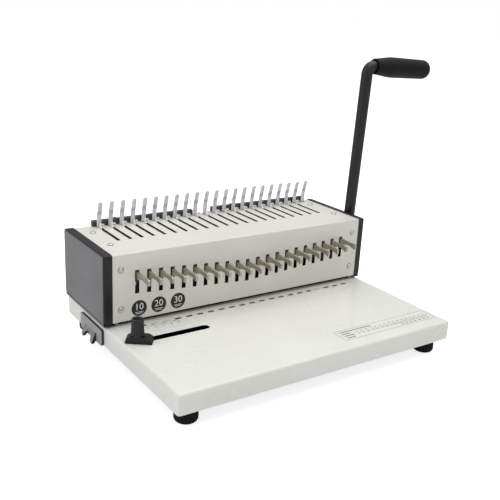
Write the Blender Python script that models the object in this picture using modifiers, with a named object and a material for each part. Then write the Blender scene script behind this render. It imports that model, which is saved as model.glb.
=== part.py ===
"""Manual comb binding machine: a punch and comb opener worked by one side handle.

Machine datum: X = 0 at the middle slot, Y = 0 at the front panel's face, Z = 0 at the top
of the base, where the paper lies. +X is the handle's side and -Y is towards the user.
"""
import math

import bmesh
import bpy
from mathutils import Matrix, Vector

# --- Driving sizes, in metres ----------------------------------------------------------
GAP = 0.0003                      # clearance between pieces that touch
HOLE_PITCH = 0.0142875            # 9/16 inch comb pitch
HOLE_COUNT = 21                   # holes across an A4 edge
PUNCH_SIZE = (0.008, 0.003)       # a comb hole, along X and along Y
PUNCH_Y = 0.023                   # punch line behind the front panel
PUNCH_FIT = 0.0002                # punch to hole, each side
PAPER_GAP = 0.0048                # throat over the base
PRESS_STROKE = 0.0135
HANDLE_SWING = math.radians(80)

BASE_WIDTH = 0.358
BASE_FRONT = -0.1605
BASE_REAR = 0.1125
BASE_HEIGHT = 0.022
BASE_SHEET = 0.0015
BASE_RADIUS = 0.003
BOTTOM_SHEET = 0.0012
FOOT_RADIUS = 0.012
FOOT_HEIGHT = 0.018
FOOT_INSET = 0.0190

COVER_WIDTH = 0.3426
COVER_TOP = 0.0815
COVER_REAR = 0.1105
COVER_SHEET = 0.0012
COVER_RADIUS = 0.0016
CAP_THICKNESS = 0.009
LEFT_CAP_EXTRA = 0.002            # the left cap stands out further
CAP_BEVEL = 0.0025
CAP_PROUD = 0.0009
CAP_WALL = 0.004

SLOT_WIDTH = 0.005
SLOT_HEIGHT = 0.0268
SLOT_TOP_OUTER = 0.0616           # slot tops follow a shallow V
SLOT_TOP_DROP = 0.0091
TAB_THICKNESS = 0.0028
TAB_HEIGHT = 0.0092
TAB_TONGUE = 0.008
TAB_REACH = 0.0288
TAB_BELOW_SLOT_TOP = 0.0018
TAB_INNER_Y = 0.026
TAB_TRAVEL = 0.006

DECK_SLOT_WIDTH = 0.0042
DECK_SLOT_FRONT = 0.0455
DECK_SLOT_REAR = 0.0968
FINGER_WIDTH = 0.0054
FINGER_THICKNESS = 0.0015
FINGER_Y = 0.1023
FINGER_RISE = 0.0312
FINGER_LEAN = 0.0058
COMB_STRIP_LOW = 0.060
COMB_BAR_DEPTH = 0.0058
COMB_BAR_HEIGHT = 0.0066
COMB_BAR_SPANS = ((-0.150, -0.016), (0.0125, 0.1625))
COMB_BAR_PEGS = ((-0.121, -0.042), (0.042, 0.121))
COMB_PEG = (0.0019, 0.0046)       # radius and length

SIDE_PLATE_X = 0.1645             # inner face
SIDE_PLATE = 0.003
SIDE_FLANGE_X = 0.157
SHAFT_Y = 0.039
SHAFT_Z = 0.042
SHAFT_RADIUS = 0.006
SHAFT_RUNNING = 0.0001            # shaft in its bushes
BUSH_RADIUS = 0.009
CAM_HUB_RADIUS = 0.010
CAM_X = (0.1535, 0.160)
CAM_START = 1.15                  # roll angle of the involute at rest, radians
LEVER_X = (0.160, 0.163)
LEVER_LENGTH = 0.030
LEVER_START = math.radians(50)
LEVER_PIN_RADIUS = 0.002

PRESS_X = 0.1525
PRESS_Y = (0.017, 0.029)
PRESS_Z = (0.040, 0.064)
LUG_X = 0.161
LUG_REAR = 0.034
LUG_THICK = 0.0065
TIP_STAGGER = 0.007
STRIPPER_X = 0.149
STRIPPER_TOP = 0.016
STRIPPER_END_TOP = 0.0095
STRIPPER_Y = (0.012, 0.034)
DIE_X = 0.152
DIE_THICK = 0.006
DIE_BOSS_Y = (0.0143, 0.0317)
DIE_FLANGE_Y = (0.008, 0.038)
PAPER_STOP_DEPTH = 0.0035

RAKE_Z = (0.0737, 0.0762)
RAKE_Y = (0.0885, 0.0995)
RAKE_X = 0.1585
RAKE_LUG = 0.003
RAKE_LUG_LOW = 0.059
HOOK_Y = 0.0944
HOOK_DEPTH = 0.004
HOOK_WIDTH = 0.0018
HOOK_RISE = 0.0054
HOOK_TONGUE = 0.0052
RAIL_X = (0.141, 0.151)
RAIL_LOW = 0.070
RAIL_FRONT = 0.040
BEAM_DEPTH = 0.004
BEAM_LOW = 0.055

ARM_RADIUS = 0.0072
ARM_LEAN = math.radians(2.4)
ARM_LENGTH = 0.2301               # pivot to grip axis
ARM_BEND = 0.0102
ARM_X = 0.1879
GRIP_TILT = math.radians(2.6)
GRIP_FROM = 0.1985
GRIP_TO = 0.2945
GRIP_SOLID = 0.0125                # closed end beyond the tube
GRIP_DOME = 0.010
GRIP_RADII = ((0.0, 0.0100), (0.06, 0.0104), (0.26, 0.0128), (0.55, 0.0126), (0.88, 0.0123))
HUB_RADIUS = 0.014
HUB_LENGTH = 0.0135

GUIDE_SLOT_Y = -0.0432
GUIDE_SLOT_WIDTH = 0.010
GUIDE_SLOT_X = (-0.1655, -0.082)
GUIDE_X = -0.163
GUIDE_BLOCK = (0.0285, 0.0146, 0.0072)
GUIDE_BLOCK_OFFSET = 0.0018        # block's middle past the stud, along its length
GUIDE_SHOULDER = 0.0048
GUIDE_TOP_LENGTH = 0.0185
GUIDE_TURN = math.radians(-35)
STUD_RADIUS = 0.0025
STUD_HEAD_RADIUS = 0.0075
KNOB_RADIUS = 0.0072
KNOB_HEIGHT = 0.0185

DRAWER_Y = (0.009, 0.061)
DRAWER_RIGHT = 0.155
DRAWER_TOP = -0.0095
DRAWER_WALL = 0.0012
DRAWER_FRONT_Y = (0.0062, 0.0656)
DRAWER_FRONT_Z = (-0.0225, -0.004)
DRAWER_FRONT = 0.0025
PULL_WIDTH = 0.029
PULL_REACH = 0.0052
PULL_DROP = 0.0024
PULL_ARCH = 0.0102

SCREW_HEAD_RADIUS = 0.0031
SCREW_HEAD_HEIGHT = 0.0019
SCREW_SHANK_RADIUS = 0.0015
SCREW_SHANK_LENGTH = 0.0032
PANEL_SCREWS_Z = (0.0192, 0.0644)
PANEL_SCREW_X = 0.1617
DECK_SCREW_X = 0.158
DECK_SCREWS_Y = (0.035, 0.0845)

# --- Values worked out from them --------------------------------------------------------
BASE_HALF = BASE_WIDTH / 2
COVER_HALF = COVER_WIDTH / 2
CAP_INNER = COVER_HALF + GAP
CAP_OUTER = CAP_INNER + CAP_THICKNESS
CAM_RATE = PRESS_STROKE / HANDLE_SWING
RAKE_TRAVEL = 2 * LEVER_LENGTH * math.cos(LEVER_START)
LUG_TOP = SHAFT_Z - CAM_RATE * CAM_START - GAP
SIDE_TOP = COVER_TOP - COVER_SHEET - GAP
STRIP_TOP = SIDE_TOP - SIDE_PLATE - GAP
DRAWER_OUTER_X = -(BASE_HALF + GAP + DRAWER_FRONT)
LEFT_EXTENT = DRAWER_OUTER_X - PULL_REACH
FOOT_BOTTOM = -(BASE_HEIGHT + GAP + FOOT_HEIGHT)
ORIGIN = Vector((
    -(LEFT_EXTENT + GRIP_TO) / 2,
    -(BASE_FRONT + BASE_REAR) / 2,
    -FOOT_BOTTOM,
))
SHAFT = Vector((0, SHAFT_Y, SHAFT_Z))
SLOTS = range(HOLE_COUNT)
MIDDLE = (HOLE_COUNT - 1) / 2


def slot_x(index):
    return (index - MIDDLE) * HOLE_PITCH


def from_middle(index):
    """0 at the middle slot, 1 at the outer ones."""
    return abs(index - MIDDLE) / MIDDLE


def slot_top(index):
    return SLOT_TOP_OUTER - SLOT_TOP_DROP * (1 - from_middle(index))


# --- Scene, materials and small tools -----------------------------------------------------
for old in list(bpy.data.objects):
    bpy.data.objects.remove(old, do_unlink=True)

PARTS = bpy.data.collections.new("comb_binding_machine")
CUTTERS = bpy.data.collections.new("cutters")
bpy.context.scene.collection.children.link(PARTS)
bpy.context.scene.collection.children.link(CUTTERS)


def material(name, color, roughness, metallic=0.0):
    made = bpy.data.materials.new(name)
    made.use_nodes = True
    shader = made.node_tree.nodes["Principled BSDF"]
    shader.inputs["Base Color"].default_value = (*color, 1.0)
    shader.inputs["Roughness"].default_value = roughness
    shader.inputs["Metallic"].default_value = metallic
    made.diffuse_color = (*color, 1.0)
    return made


IVORY = material("ivory_powder_coat", (0.80, 0.79, 0.74), 0.45)
CHARCOAL = material("charcoal_plastic", (0.05, 0.055, 0.06), 0.5)
BLACK = material("black_paint", (0.02, 0.02, 0.023), 0.45)
RUBBER = material("black_rubber", (0.02, 0.02, 0.02), 0.8)
NICKEL = material("nickel_steel", (0.62, 0.60, 0.56), 0.3, 1.0)
STEEL = material("tool_steel", (0.45, 0.46, 0.48), 0.35, 1.0)
CHROME = material("chrome", (0.8, 0.8, 0.82), 0.12, 1.0)
NYLON = material("nylon", (0.85, 0.84, 0.78), 0.5)


def empty(name, place, parent=None):
    made = bpy.data.objects.new(name, None)
    made.location = place
    made.parent = parent
    made.empty_display_size = 0.01
    PARTS.objects.link(made)
    return made


DATUM = empty("machine_datum", ORIGIN)


def axis_empty(name, place, parent=None):
    """An empty on a joint's axis; place is in the machine's datum."""
    made = empty(name, Vector(place) - datum_place(parent), parent or DATUM)
    return made


def datum_place(item):
    place = Vector((0, 0, 0))
    while item is not None and item is not DATUM:
        place += item.location
        item = item.parent
    return place


def part(name, mesh, finish, axis=None):
    """A sub-part whose mesh is in the machine's datum, hung on its joint's empty."""
    mesh.name = name
    made = bpy.data.objects.new(name, mesh)
    made.parent = axis or DATUM
    made.location = -datum_place(axis)
    mesh.materials.clear()
    mesh.materials.append(finish)
    PARTS.objects.link(made)
    return made


def guide_object(name, mesh, parent):
    """A cutter or a piece to be joined on, kept with the same parent as its part."""
    made = bpy.data.objects.new(name, mesh)
    made.parent = parent.parent
    made.location = parent.location
    made.display_type = "WIRE"
    made.hide_render = True
    CUTTERS.objects.link(made)
    return made


def boolean(item, mesh, operation="DIFFERENCE"):
    step = item.modifiers.new(operation.lower(), "BOOLEAN")
    step.operation = operation
    step.solver = "EXACT"
    step.object = guide_object(item.name + "_" + operation.lower(), mesh, item)


def bevel(item, width, segments=1, angle=math.radians(40)):
    step = item.modifiers.new("edges", "BEVEL")
    step.width = width
    step.segments = segments
    step.limit_method = "ANGLE"
    step.angle_limit = angle


def box_mesh(*boxes):
    """One mesh of axis-aligned boxes, each ((x0, x1), (y0, y1), (z0, z1))."""
    shape = bmesh.new()
    for spans in boxes:
        size = Vector([high - low for low, high in spans])
        middle = Vector([(high + low) / 2 for low, high in spans])
        place = Matrix.Translation(middle) @ Matrix.Diagonal((*size, 1))
        bmesh.ops.create_cube(shape, size=1.0, matrix=place)
    return to_mesh(shape)


def to_mesh(shape, name="shape"):
    made = bpy.data.meshes.new(name)
    bmesh.ops.recalc_face_normals(shape, faces=shape.faces)
    shape.to_mesh(made)
    shape.free()
    return made


AXIS_TURN = {
    "X": Matrix(((0, 0, 1, 0), (1, 0, 0, 0), (0, 1, 0, 0), (0, 0, 0, 1))),
    "Y": Matrix(((0, 1, 0, 0), (0, 0, 1, 0), (1, 0, 0, 0), (0, 0, 0, 1))),
    "Z": Matrix.Identity(4),
}


def cylinder_mesh(axis, center, radius, length, sides=24):
    """A cylinder that starts at center and runs along +axis."""
    shape = bmesh.new()
    lift = Matrix.Translation((0, 0, length / 2))
    place = Matrix.Translation(center) @ AXIS_TURN[axis] @ lift
    bmesh.ops.create_cone(shape, cap_ends=True, segments=sides, radius1=radius,
                          radius2=radius, depth=length, matrix=place)
    return to_mesh(shape)


def merged(*meshes):
    shape = bmesh.new()
    for mesh in meshes:
        shape.from_mesh(mesh)
    return to_mesh(shape)


def moved(mesh, offset):
    made = mesh.copy()
    made.transform(Matrix.Translation(offset))
    return made


def evaluated_mesh(item):
    """The item's finished mesh in its own space, with loose caps welded; the item goes."""
    graph = bpy.context.evaluated_depsgraph_get()
    mesh = bpy.data.meshes.new_from_object(item.evaluated_get(graph))
    bpy.data.objects.remove(item, do_unlink=True)
    shape = bmesh.new()
    shape.from_mesh(mesh)
    bmesh.ops.remove_doubles(shape, verts=shape.verts, dist=1e-6)
    return to_mesh(shape)


def outline_mesh(points, thickness, axis="X", start=0.0):
    """A flat outline, given across the axis, extruded from start along the axis."""
    curve = bpy.data.curves.new("outline", "CURVE")
    curve.dimensions = "2D"
    curve.fill_mode = "BOTH"
    curve.extrude = thickness / 2
    line = curve.splines.new("POLY")
    line.points.add(len(points) - 1)
    for point, (u, v) in zip(line.points, points):
        point.co = (u, v, 0, 1)
    line.use_cyclic_u = True
    item = bpy.data.objects.new("outline", curve)
    CUTTERS.objects.link(item)
    mesh = evaluated_mesh(item)
    mesh.transform(AXIS_TURN[axis] @ Matrix.Translation((0, 0, start + thickness / 2)))
    return mesh


def tube_mesh(points, radius, resolution=3, cyclic=False):
    curve = bpy.data.curves.new("tube", "CURVE")
    curve.dimensions = "3D"
    curve.bevel_depth = radius
    curve.bevel_resolution = resolution
    curve.use_fill_caps = True
    line = curve.splines.new("POLY")
    line.points.add(len(points) - 1)
    for point, place in zip(line.points, points):
        point.co = (*place, 1)
    line.use_cyclic_u = cyclic
    item = bpy.data.objects.new("tube", curve)
    CUTTERS.objects.link(item)
    return evaluated_mesh(item)


def turned_mesh(profile, steps=24):
    """A turned shape about Z; the profile runs down the outer side, top to bottom."""
    shape = bmesh.new()
    corners = [shape.verts.new((radius, 0, height)) for radius, height in profile]
    for start, end in zip(corners, corners[1:]):
        shape.edges.new((start, end))
    line = bpy.data.meshes.new("profile")
    shape.to_mesh(line)
    shape.free()
    item = bpy.data.objects.new("profile", line)
    CUTTERS.objects.link(item)
    step = item.modifiers.new("turn", "SCREW")
    step.steps = steps
    step.render_steps = steps
    step.use_merge_vertices = True
    step.merge_threshold = 1e-6
    return evaluated_mesh(item)


def arc(center, radius, start, end, steps):
    """Points from start to end, in degrees, both included."""
    angles = [math.radians(start + (end - start) * i / steps) for i in range(steps + 1)]
    return [(center[0] + radius * math.cos(a), center[1] + radius * math.sin(a)) for a in angles]


def smooth(item, angle=35):
    item.data.shade_smooth()
    item.data.set_sharp_from_angle(angle=math.radians(angle))


# --- Base ---------------------------------------------------------------------------------
def base_tray():
    """A folded sheet pan, open below, with the die, guide and drawer cut-outs."""
    shape = bmesh.new()
    spans = ((-BASE_HALF, BASE_HALF), (BASE_FRONT, BASE_REAR), (-BASE_HEIGHT, 0))
    shape.from_mesh(box_mesh(spans))
    under = [face for face in shape.faces if face.normal.z < -0.5]
    bmesh.ops.delete(shape, geom=under, context="FACES_ONLY")
    tray = part("base_tray", to_mesh(shape), IVORY)
    bevel(tray, BASE_RADIUS, 3)
    sheet = tray.modifiers.new("sheet", "SOLIDIFY")
    sheet.thickness = BASE_SHEET
    sheet.offset = -1
    deep = 2 * BASE_SHEET
    slot_low, slot_high = GUIDE_SLOT_X
    half = GUIDE_SLOT_WIDTH / 2
    slot = arc((slot_low, GUIDE_SLOT_Y), half, 90, 270, 6)
    slot += arc((slot_high, GUIDE_SLOT_Y), half, -90, 90, 6)
    guide_slot = outline_mesh(slot, 2 * deep, "Z", -deep)
    die_x = DIE_X + GAP
    die_y = (DIE_BOSS_Y[0] - GAP, DIE_BOSS_Y[1] + GAP)
    drawer_y = (DRAWER_Y[0] - 2 * GAP, DRAWER_Y[1] + 2 * GAP)
    cuts = box_mesh(
        ((-die_x, die_x), die_y, (-deep, deep)),
        ((-BASE_HALF - deep, -BASE_HALF + deep), drawer_y, (-BASE_HEIGHT - deep, DRAWER_TOP + 2 * GAP)),
    )
    boolean(tray, merged(cuts, guide_slot))


def bottom_plate():
    """Flat sheet that closes the tray; its corners follow the tray's inner radius."""
    inset = BASE_SHEET + GAP + BASE_RADIUS
    right = BASE_HALF - inset
    front = BASE_FRONT + inset
    rear = BASE_REAR - inset
    outline = arc((right, rear), BASE_RADIUS, 0, 90, 3) + arc((-right, rear), BASE_RADIUS, 90, 180, 3)
    outline += arc((-right, front), BASE_RADIUS, 180, 270, 3) + arc((right, front), BASE_RADIUS, 270, 360, 3)
    part("bottom_plate", outline_mesh(outline, BOTTOM_SHEET, "Z", -BASE_HEIGHT), STEEL)


def feet():
    top = -BASE_HEIGHT - GAP
    profile = [(0, top), (FOOT_RADIUS * 0.86, top), (FOOT_RADIUS, top - FOOT_HEIGHT * 0.45)]
    profile += [(FOOT_RADIUS, FOOT_BOTTOM + 0.002), (FOOT_RADIUS - 0.002, FOOT_BOTTOM), (0, FOOT_BOTTOM)]
    mesh = turned_mesh(profile, 24)
    x = BASE_HALF - FOOT_INSET
    front = BASE_FRONT + FOOT_INSET
    rear = BASE_REAR - FOOT_INSET
    places = {"front_left": (-x, front), "front_right": (x, front),
              "rear_left": (-x, rear), "rear_right": (x, rear)}
    for corner, (foot_x, foot_y) in places.items():
        foot = part("foot_" + corner, moved(mesh, (foot_x, foot_y, 0)), RUBBER)
        smooth(foot)


# --- Housing ------------------------------------------------------------------------------
def screw_places():
    """Name, place on the sheet's outer face and outward axis of every housing screw."""
    places = []
    for side, sign in (("left", -1), ("right", 1)):
        for level, z in zip(("lower", "upper"), PANEL_SCREWS_Z):
            places.append((f"panel_screw_{side}_{level}", (sign * PANEL_SCREW_X, 0, z), "Y"))
        for row, y in zip(("front", "rear"), DECK_SCREWS_Y):
            places.append((f"deck_screw_{side}_{row}", (sign * DECK_SCREW_X, y, COVER_TOP), "Z"))
    return places


def housing_cover():
    """Front panel, deck and back folded from one sheet, with its slots and finger holes."""
    spans = ((-COVER_HALF, COVER_HALF), (0, COVER_REAR), (PAPER_GAP, COVER_TOP))
    shape = bmesh.new()
    shape.from_mesh(box_mesh(spans))
    open_faces = [face for face in shape.faces if abs(face.normal.x) > 0.5 or face.normal.z < -0.5]
    bmesh.ops.delete(shape, geom=open_faces, context="FACES_ONLY")
    cover = part("housing_cover", to_mesh(shape), IVORY)
    bevel(cover, COVER_RADIUS, 2)
    sheet = cover.modifiers.new("sheet", "SOLIDIFY")
    sheet.thickness = COVER_SHEET
    sheet.offset = -1
    sheet.use_even_offset = True
    deep = 2 * COVER_SHEET
    cuts = []
    for index in SLOTS:
        x = slot_x(index)
        top = slot_top(index)
        across = (x - SLOT_WIDTH / 2, x + SLOT_WIDTH / 2)
        cuts.append((across, (-deep, deep), (top - SLOT_HEIGHT, top)))
        across = (x - DECK_SLOT_WIDTH / 2, x + DECK_SLOT_WIDTH / 2)
        cuts.append((across, (DECK_SLOT_FRONT, DECK_SLOT_REAR), (COVER_TOP - deep, COVER_TOP + deep)))
    for index in range(HOLE_COUNT + 1):
        cuts.append(finger_hole(index, deep))
    boolean(cover, merged(box_mesh(*cuts), *screw_holes(deep)))


def finger_hole(index, deep):
    """Clearance box for one finger of the comb, through the deck and deep below it."""
    x = slot_x(index)
    half = FINGER_WIDTH / 2 + 2 * GAP
    y = (FINGER_Y - FINGER_THICKNESS - 2 * GAP, FINGER_Y + FINGER_THICKNESS + GAP)
    return ((x - half, x + half), y, (COVER_TOP - deep, COVER_TOP + deep))


def screw_holes(deep, side=None):
    """Clearance holes for the housing screws, on one side or on both."""
    holes = []
    for name, place, axis in screw_places():
        if side is None or side in name:
            start = Vector(place)
            start["XYZ".index(axis)] -= deep
            holes.append(cylinder_mesh(axis, start, SCREW_SHANK_RADIUS + GAP, 2 * deep, 12))
    return holes


def screws():
    """Pan-head screws that hold the cover to the side plates' flanges."""
    head = [(0, SCREW_HEAD_HEIGHT)]
    for step in range(1, 3):
        turn = math.radians(90 * step / 3)
        reach = SCREW_HEAD_RADIUS * math.sin(turn)
        head.append((reach, SCREW_HEAD_HEIGHT * (0.35 + 0.65 * math.cos(turn))))
    head += [(SCREW_HEAD_RADIUS, SCREW_HEAD_HEIGHT * 0.3), (SCREW_HEAD_RADIUS, GAP)]
    head += [(SCREW_SHANK_RADIUS, GAP), (SCREW_SHANK_RADIUS, -SCREW_SHANK_LENGTH)]
    head += [(0, -SCREW_SHANK_LENGTH)]
    mesh = turned_mesh(head, 12)
    for name, place, axis in screw_places():
        turn = Matrix.Rotation(math.radians(90), 4, "X") if axis == "Y" else Matrix.Identity(4)
        copy = mesh.copy()
        copy.transform(Matrix.Translation(place) @ turn)
        smooth(part(name, copy, CHROME))


def end_cap(side, sign):
    """A moulded end cap: a shallow tray that closes the housing's end."""
    reach = CAP_OUTER if sign > 0 else CAP_OUTER + LEFT_CAP_EXTRA
    outer = sorted((sign * CAP_INNER, sign * reach))
    y = (-CAP_PROUD, COVER_REAR + CAP_PROUD)
    z = (PAPER_GAP - GAP, COVER_TOP + CAP_PROUD)
    cap = part(side + "_cap", box_mesh((outer, y, z)), CHARCOAL)
    weight_outer_edges(cap, sign)
    pocket = sorted((sign * (CAP_INNER - CAP_WALL), sign * (reach - CAP_WALL / 2)))
    inner = box_mesh((
        pocket,
        (y[0] + CAP_WALL, y[1] - CAP_WALL),
        (z[0] + CAP_WALL, z[1] - CAP_WALL),
    ))
    if sign > 0:
        start = (CAP_INNER, SHAFT_Y, SHAFT_Z)
        hole = cylinder_mesh("X", start, SHAFT_RADIUS + 2 * GAP, 2 * CAP_THICKNESS)
        boolean(cap, inner)
        boolean(cap, hole)
    else:
        boolean(cap, inner)


def weight_outer_edges(cap, sign):
    """Bevel only the rim of the cap's outer face."""
    shape = bmesh.new()
    shape.from_mesh(cap.data)
    outer = max(vert.co.x * sign for vert in shape.verts)
    rim = [edge for edge in shape.edges if all(abs(v.co.x * sign - outer) < 1e-6 for v in edge.verts)]
    corners = [edge for edge in shape.edges if abs(edge.verts[0].co.x - edge.verts[1].co.x) > 1e-4]
    bmesh.ops.bevel(shape, geom=rim + corners, offset=CAP_BEVEL, segments=2, affect="EDGES", profile=0.5)
    shape.to_mesh(cap.data)
    shape.free()


# --- Frame inside the housing ----------------------------------------------------------------
def side_plate(side, sign):
    """Steel side plate with folded front and top flanges and the shaft's bush hole."""
    web = sorted((sign * SIDE_PLATE_X, sign * (SIDE_PLATE_X + SIDE_PLATE)))
    flange = sorted((sign * SIDE_FLANGE_X, sign * (SIDE_PLATE_X + SIDE_PLATE)))
    front = COVER_SHEET + GAP
    rear = COVER_REAR - COVER_SHEET - GAP
    plate = part(side + "_side_plate", box_mesh((web, (front, rear), (GAP, SIDE_TOP))), STEEL)
    flanges = box_mesh(
        (flange, (front, front + SIDE_PLATE), (PAPER_GAP, SIDE_TOP - SIDE_PLATE / 2)),
    )
    top = box_mesh((flange, (front, rear), (SIDE_TOP - SIDE_PLATE, SIDE_TOP)))
    boolean(plate, flanges, "UNION")
    boolean(plate, top, "UNION")
    deep = 3 * SIDE_PLATE
    start = (min(web) - SIDE_PLATE, SHAFT_Y, SHAFT_Z)
    bush = cylinder_mesh("X", start, BUSH_RADIUS + GAP, 3 * SIDE_PLATE)
    boolean(plate, merged(bush, *screw_holes(deep / 1.5, side)))
    if sign > 0:
        boolean(plate, box_mesh(finger_hole(HOLE_COUNT, deep)))


def shaft_bush(side, sign):
    length = SIDE_PLATE + 4 * GAP
    x = sign * (SIDE_PLATE_X + SIDE_PLATE / 2) - length / 2
    mesh = cylinder_mesh("X", (x, SHAFT_Y, SHAFT_Z), BUSH_RADIUS, length)
    bush = part(side + "_shaft_bush", mesh, NYLON)
    start = (x - length, SHAFT_Y, SHAFT_Z)
    boolean(bush, cylinder_mesh("X", start, SHAFT_RADIUS + SHAFT_RUNNING, 3 * length))


def rear_beam():
    """Cross beam between the side plates, with the two rails that the rake slides on."""
    half = SIDE_PLATE_X - GAP
    front = FINGER_Y + FINGER_THICKNESS / 2 + GAP
    spans = ((-half, half), (front, front + BEAM_DEPTH), (BEAM_LOW, STRIP_TOP))
    beam = part("rear_beam", box_mesh(spans), STEEL)
    rail_top = RAKE_Z[0] - GAP
    rails = []
    for sign in (-1, 1):
        across = sorted((sign * RAIL_X[0], sign * RAIL_X[1]))
        rails.append((across, (RAIL_FRONT, front + BEAM_DEPTH / 2), (RAIL_LOW, rail_top)))
    boolean(beam, box_mesh(*rails), "UNION")


# --- Punch --------------------------------------------------------------------------------------
def punch_boxes(grow, low, high):
    """One box for each punch or punch hole; low may differ from slot to slot."""
    boxes = []
    for index in SLOTS:
        x = slot_x(index)
        half_x = PUNCH_SIZE[0] / 2 + grow
        half_y = PUNCH_SIZE[1] / 2 + grow
        boxes.append(((x - half_x, x + half_x), (PUNCH_Y - half_y, PUNCH_Y + half_y), (low(index), high)))
    return boxes


def die_plate():
    """Die under the paper: a boss flush with the base top, and the paper's back stop."""
    low = -BASE_SHEET - GAP - DIE_THICK
    shelf = -BASE_SHEET - GAP
    stop = PAPER_GAP - GAP
    outline = [
        (DIE_FLANGE_Y[0], low), (DIE_FLANGE_Y[1], low), (DIE_FLANGE_Y[1], shelf),
        (DIE_BOSS_Y[1], shelf), (DIE_BOSS_Y[1], stop), (DIE_BOSS_Y[1] - PAPER_STOP_DEPTH, stop),
        (DIE_BOSS_Y[1] - PAPER_STOP_DEPTH, 0), (DIE_BOSS_Y[0], 0), (DIE_BOSS_Y[0], shelf),
        (DIE_FLANGE_Y[0], shelf),
    ]
    die = part("die_plate", outline_mesh(outline, 2 * DIE_X, "X", -DIE_X), STEEL)
    boolean(die, box_mesh(*punch_boxes(PUNCH_FIT, lambda index: low - DIE_THICK, DIE_THICK)))


def stripper_plate():
    """Guides the punches over the paper and strips it off them."""
    end = SIDE_PLATE_X - GAP
    plate = part("stripper_plate", box_mesh(
        ((-STRIPPER_X, STRIPPER_X), STRIPPER_Y, (PAPER_GAP, STRIPPER_TOP)),
    ), STEEL)
    boolean(plate, box_mesh(((-end, end), STRIPPER_Y, (PAPER_GAP, STRIPPER_END_TOP))), "UNION")
    boolean(plate, box_mesh(*punch_boxes(PUNCH_FIT, lambda index: -PAPER_GAP, 2 * STRIPPER_TOP)))


def press_bar(axis):
    """Cross bar that carries the punches, with a lug under each cam."""
    bar = part("press_bar", box_mesh(((-PRESS_X, PRESS_X), PRESS_Y, PRESS_Z)), STEEL, axis)
    lug_low = LUG_TOP - LUG_THICK
    web = PRESS_X - SIDE_PLATE
    ends = []
    for sign in (-1, 1):
        across = sorted((sign * web, sign * PRESS_X))
        ends.append((across, PRESS_Y, (lug_low, PRESS_Z[0] + SIDE_PLATE)))
    boolean(bar, box_mesh(*ends), "UNION")
    lugs = []
    for sign in (-1, 1):
        across = sorted((sign * web, sign * LUG_X))
        lugs.append((across, (PRESS_Y[0], LUG_REAR), (lug_low, LUG_TOP)))
    boolean(bar, box_mesh(*lugs), "UNION")
    tip = PAPER_GAP + GAP
    punches = punch_boxes(0, lambda index: tip + TIP_STAGGER * from_middle(index), PRESS_Z[0] + SIDE_PLATE)
    boolean(bar, box_mesh(*punches), "UNION")
    pockets = []
    half = TAB_THICKNESS / 2 + GAP
    for index in SLOTS:
        x = slot_x(index)
        top = slot_top(index) - TAB_BELOW_SLOT_TOP + GAP
        pocket_z = (top - TAB_TONGUE - 2 * GAP, top)
        pockets.append(((x - half, x + half), (PRESS_Y[0] - half, TAB_INNER_Y + GAP), pocket_z))
    boolean(bar, box_mesh(*pockets))


def tab_outline():
    """Side view of a punch selector tab, across X: tongue, neck and hooked finger end."""
    tip_y = -TAB_REACH
    rear_y = COVER_SHEET + 0.003
    outline = [(TAB_INNER_Y, 0), (tip_y + 0.001, -0.0006), (tip_y, -0.0014)]
    outline += arc((tip_y + 0.0016, -0.0072), 0.0016, 180, 320, 5)
    outline += arc((-0.0145, -0.0135), 0.0082, 140, 50, 6)
    outline += [(-0.0015, -TAB_HEIGHT), (rear_y, -TAB_HEIGHT), (rear_y, -TAB_TONGUE)]
    outline += [(TAB_INNER_Y, -TAB_TONGUE)]
    return outline


def punch_tabs(press_axis):
    mesh = outline_mesh(tab_outline(), TAB_THICKNESS, "X", -TAB_THICKNESS / 2)
    for index in SLOTS:
        place = (slot_x(index), 0, slot_top(index) - TAB_BELOW_SLOT_TOP)
        axis = axis_empty(f"tab_{index + 1:02d}_axis", place, press_axis)
        part(f"punch_tab_{index + 1:02d}", moved(mesh, place), NICKEL, axis)


# --- Drive ------------------------------------------------------------------------------------
def drive_shaft(axis):
    left = -(CAP_INNER - 4 * GAP)
    length = ARM_X + ARM_RADIUS / 2 - left
    mesh = cylinder_mesh("X", (left, SHAFT_Y, SHAFT_Z), SHAFT_RADIUS, length)
    smooth(part("drive_shaft", mesh, STEEL, axis))


def cam_outline():
    """Involute cam: its flat follower sinks by CAM_RATE for each radian of the handle."""
    points = []
    first = CAM_START - 0.3
    last = CAM_START + HANDLE_SWING + 0.04
    steps = 12
    for step in range(steps + 1):
        roll = first + (last - first) * step / steps
        turn = roll - CAM_START
        y = -math.cos(turn) - roll * math.sin(turn)
        z = math.sin(turn) - roll * math.cos(turn)
        points.append((SHAFT_Y + CAM_RATE * y, SHAFT_Z + CAM_RATE * z))
    points += arc((SHAFT_Y, SHAFT_Z), CAM_HUB_RADIUS, 120, -100, 12)
    return points


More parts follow.
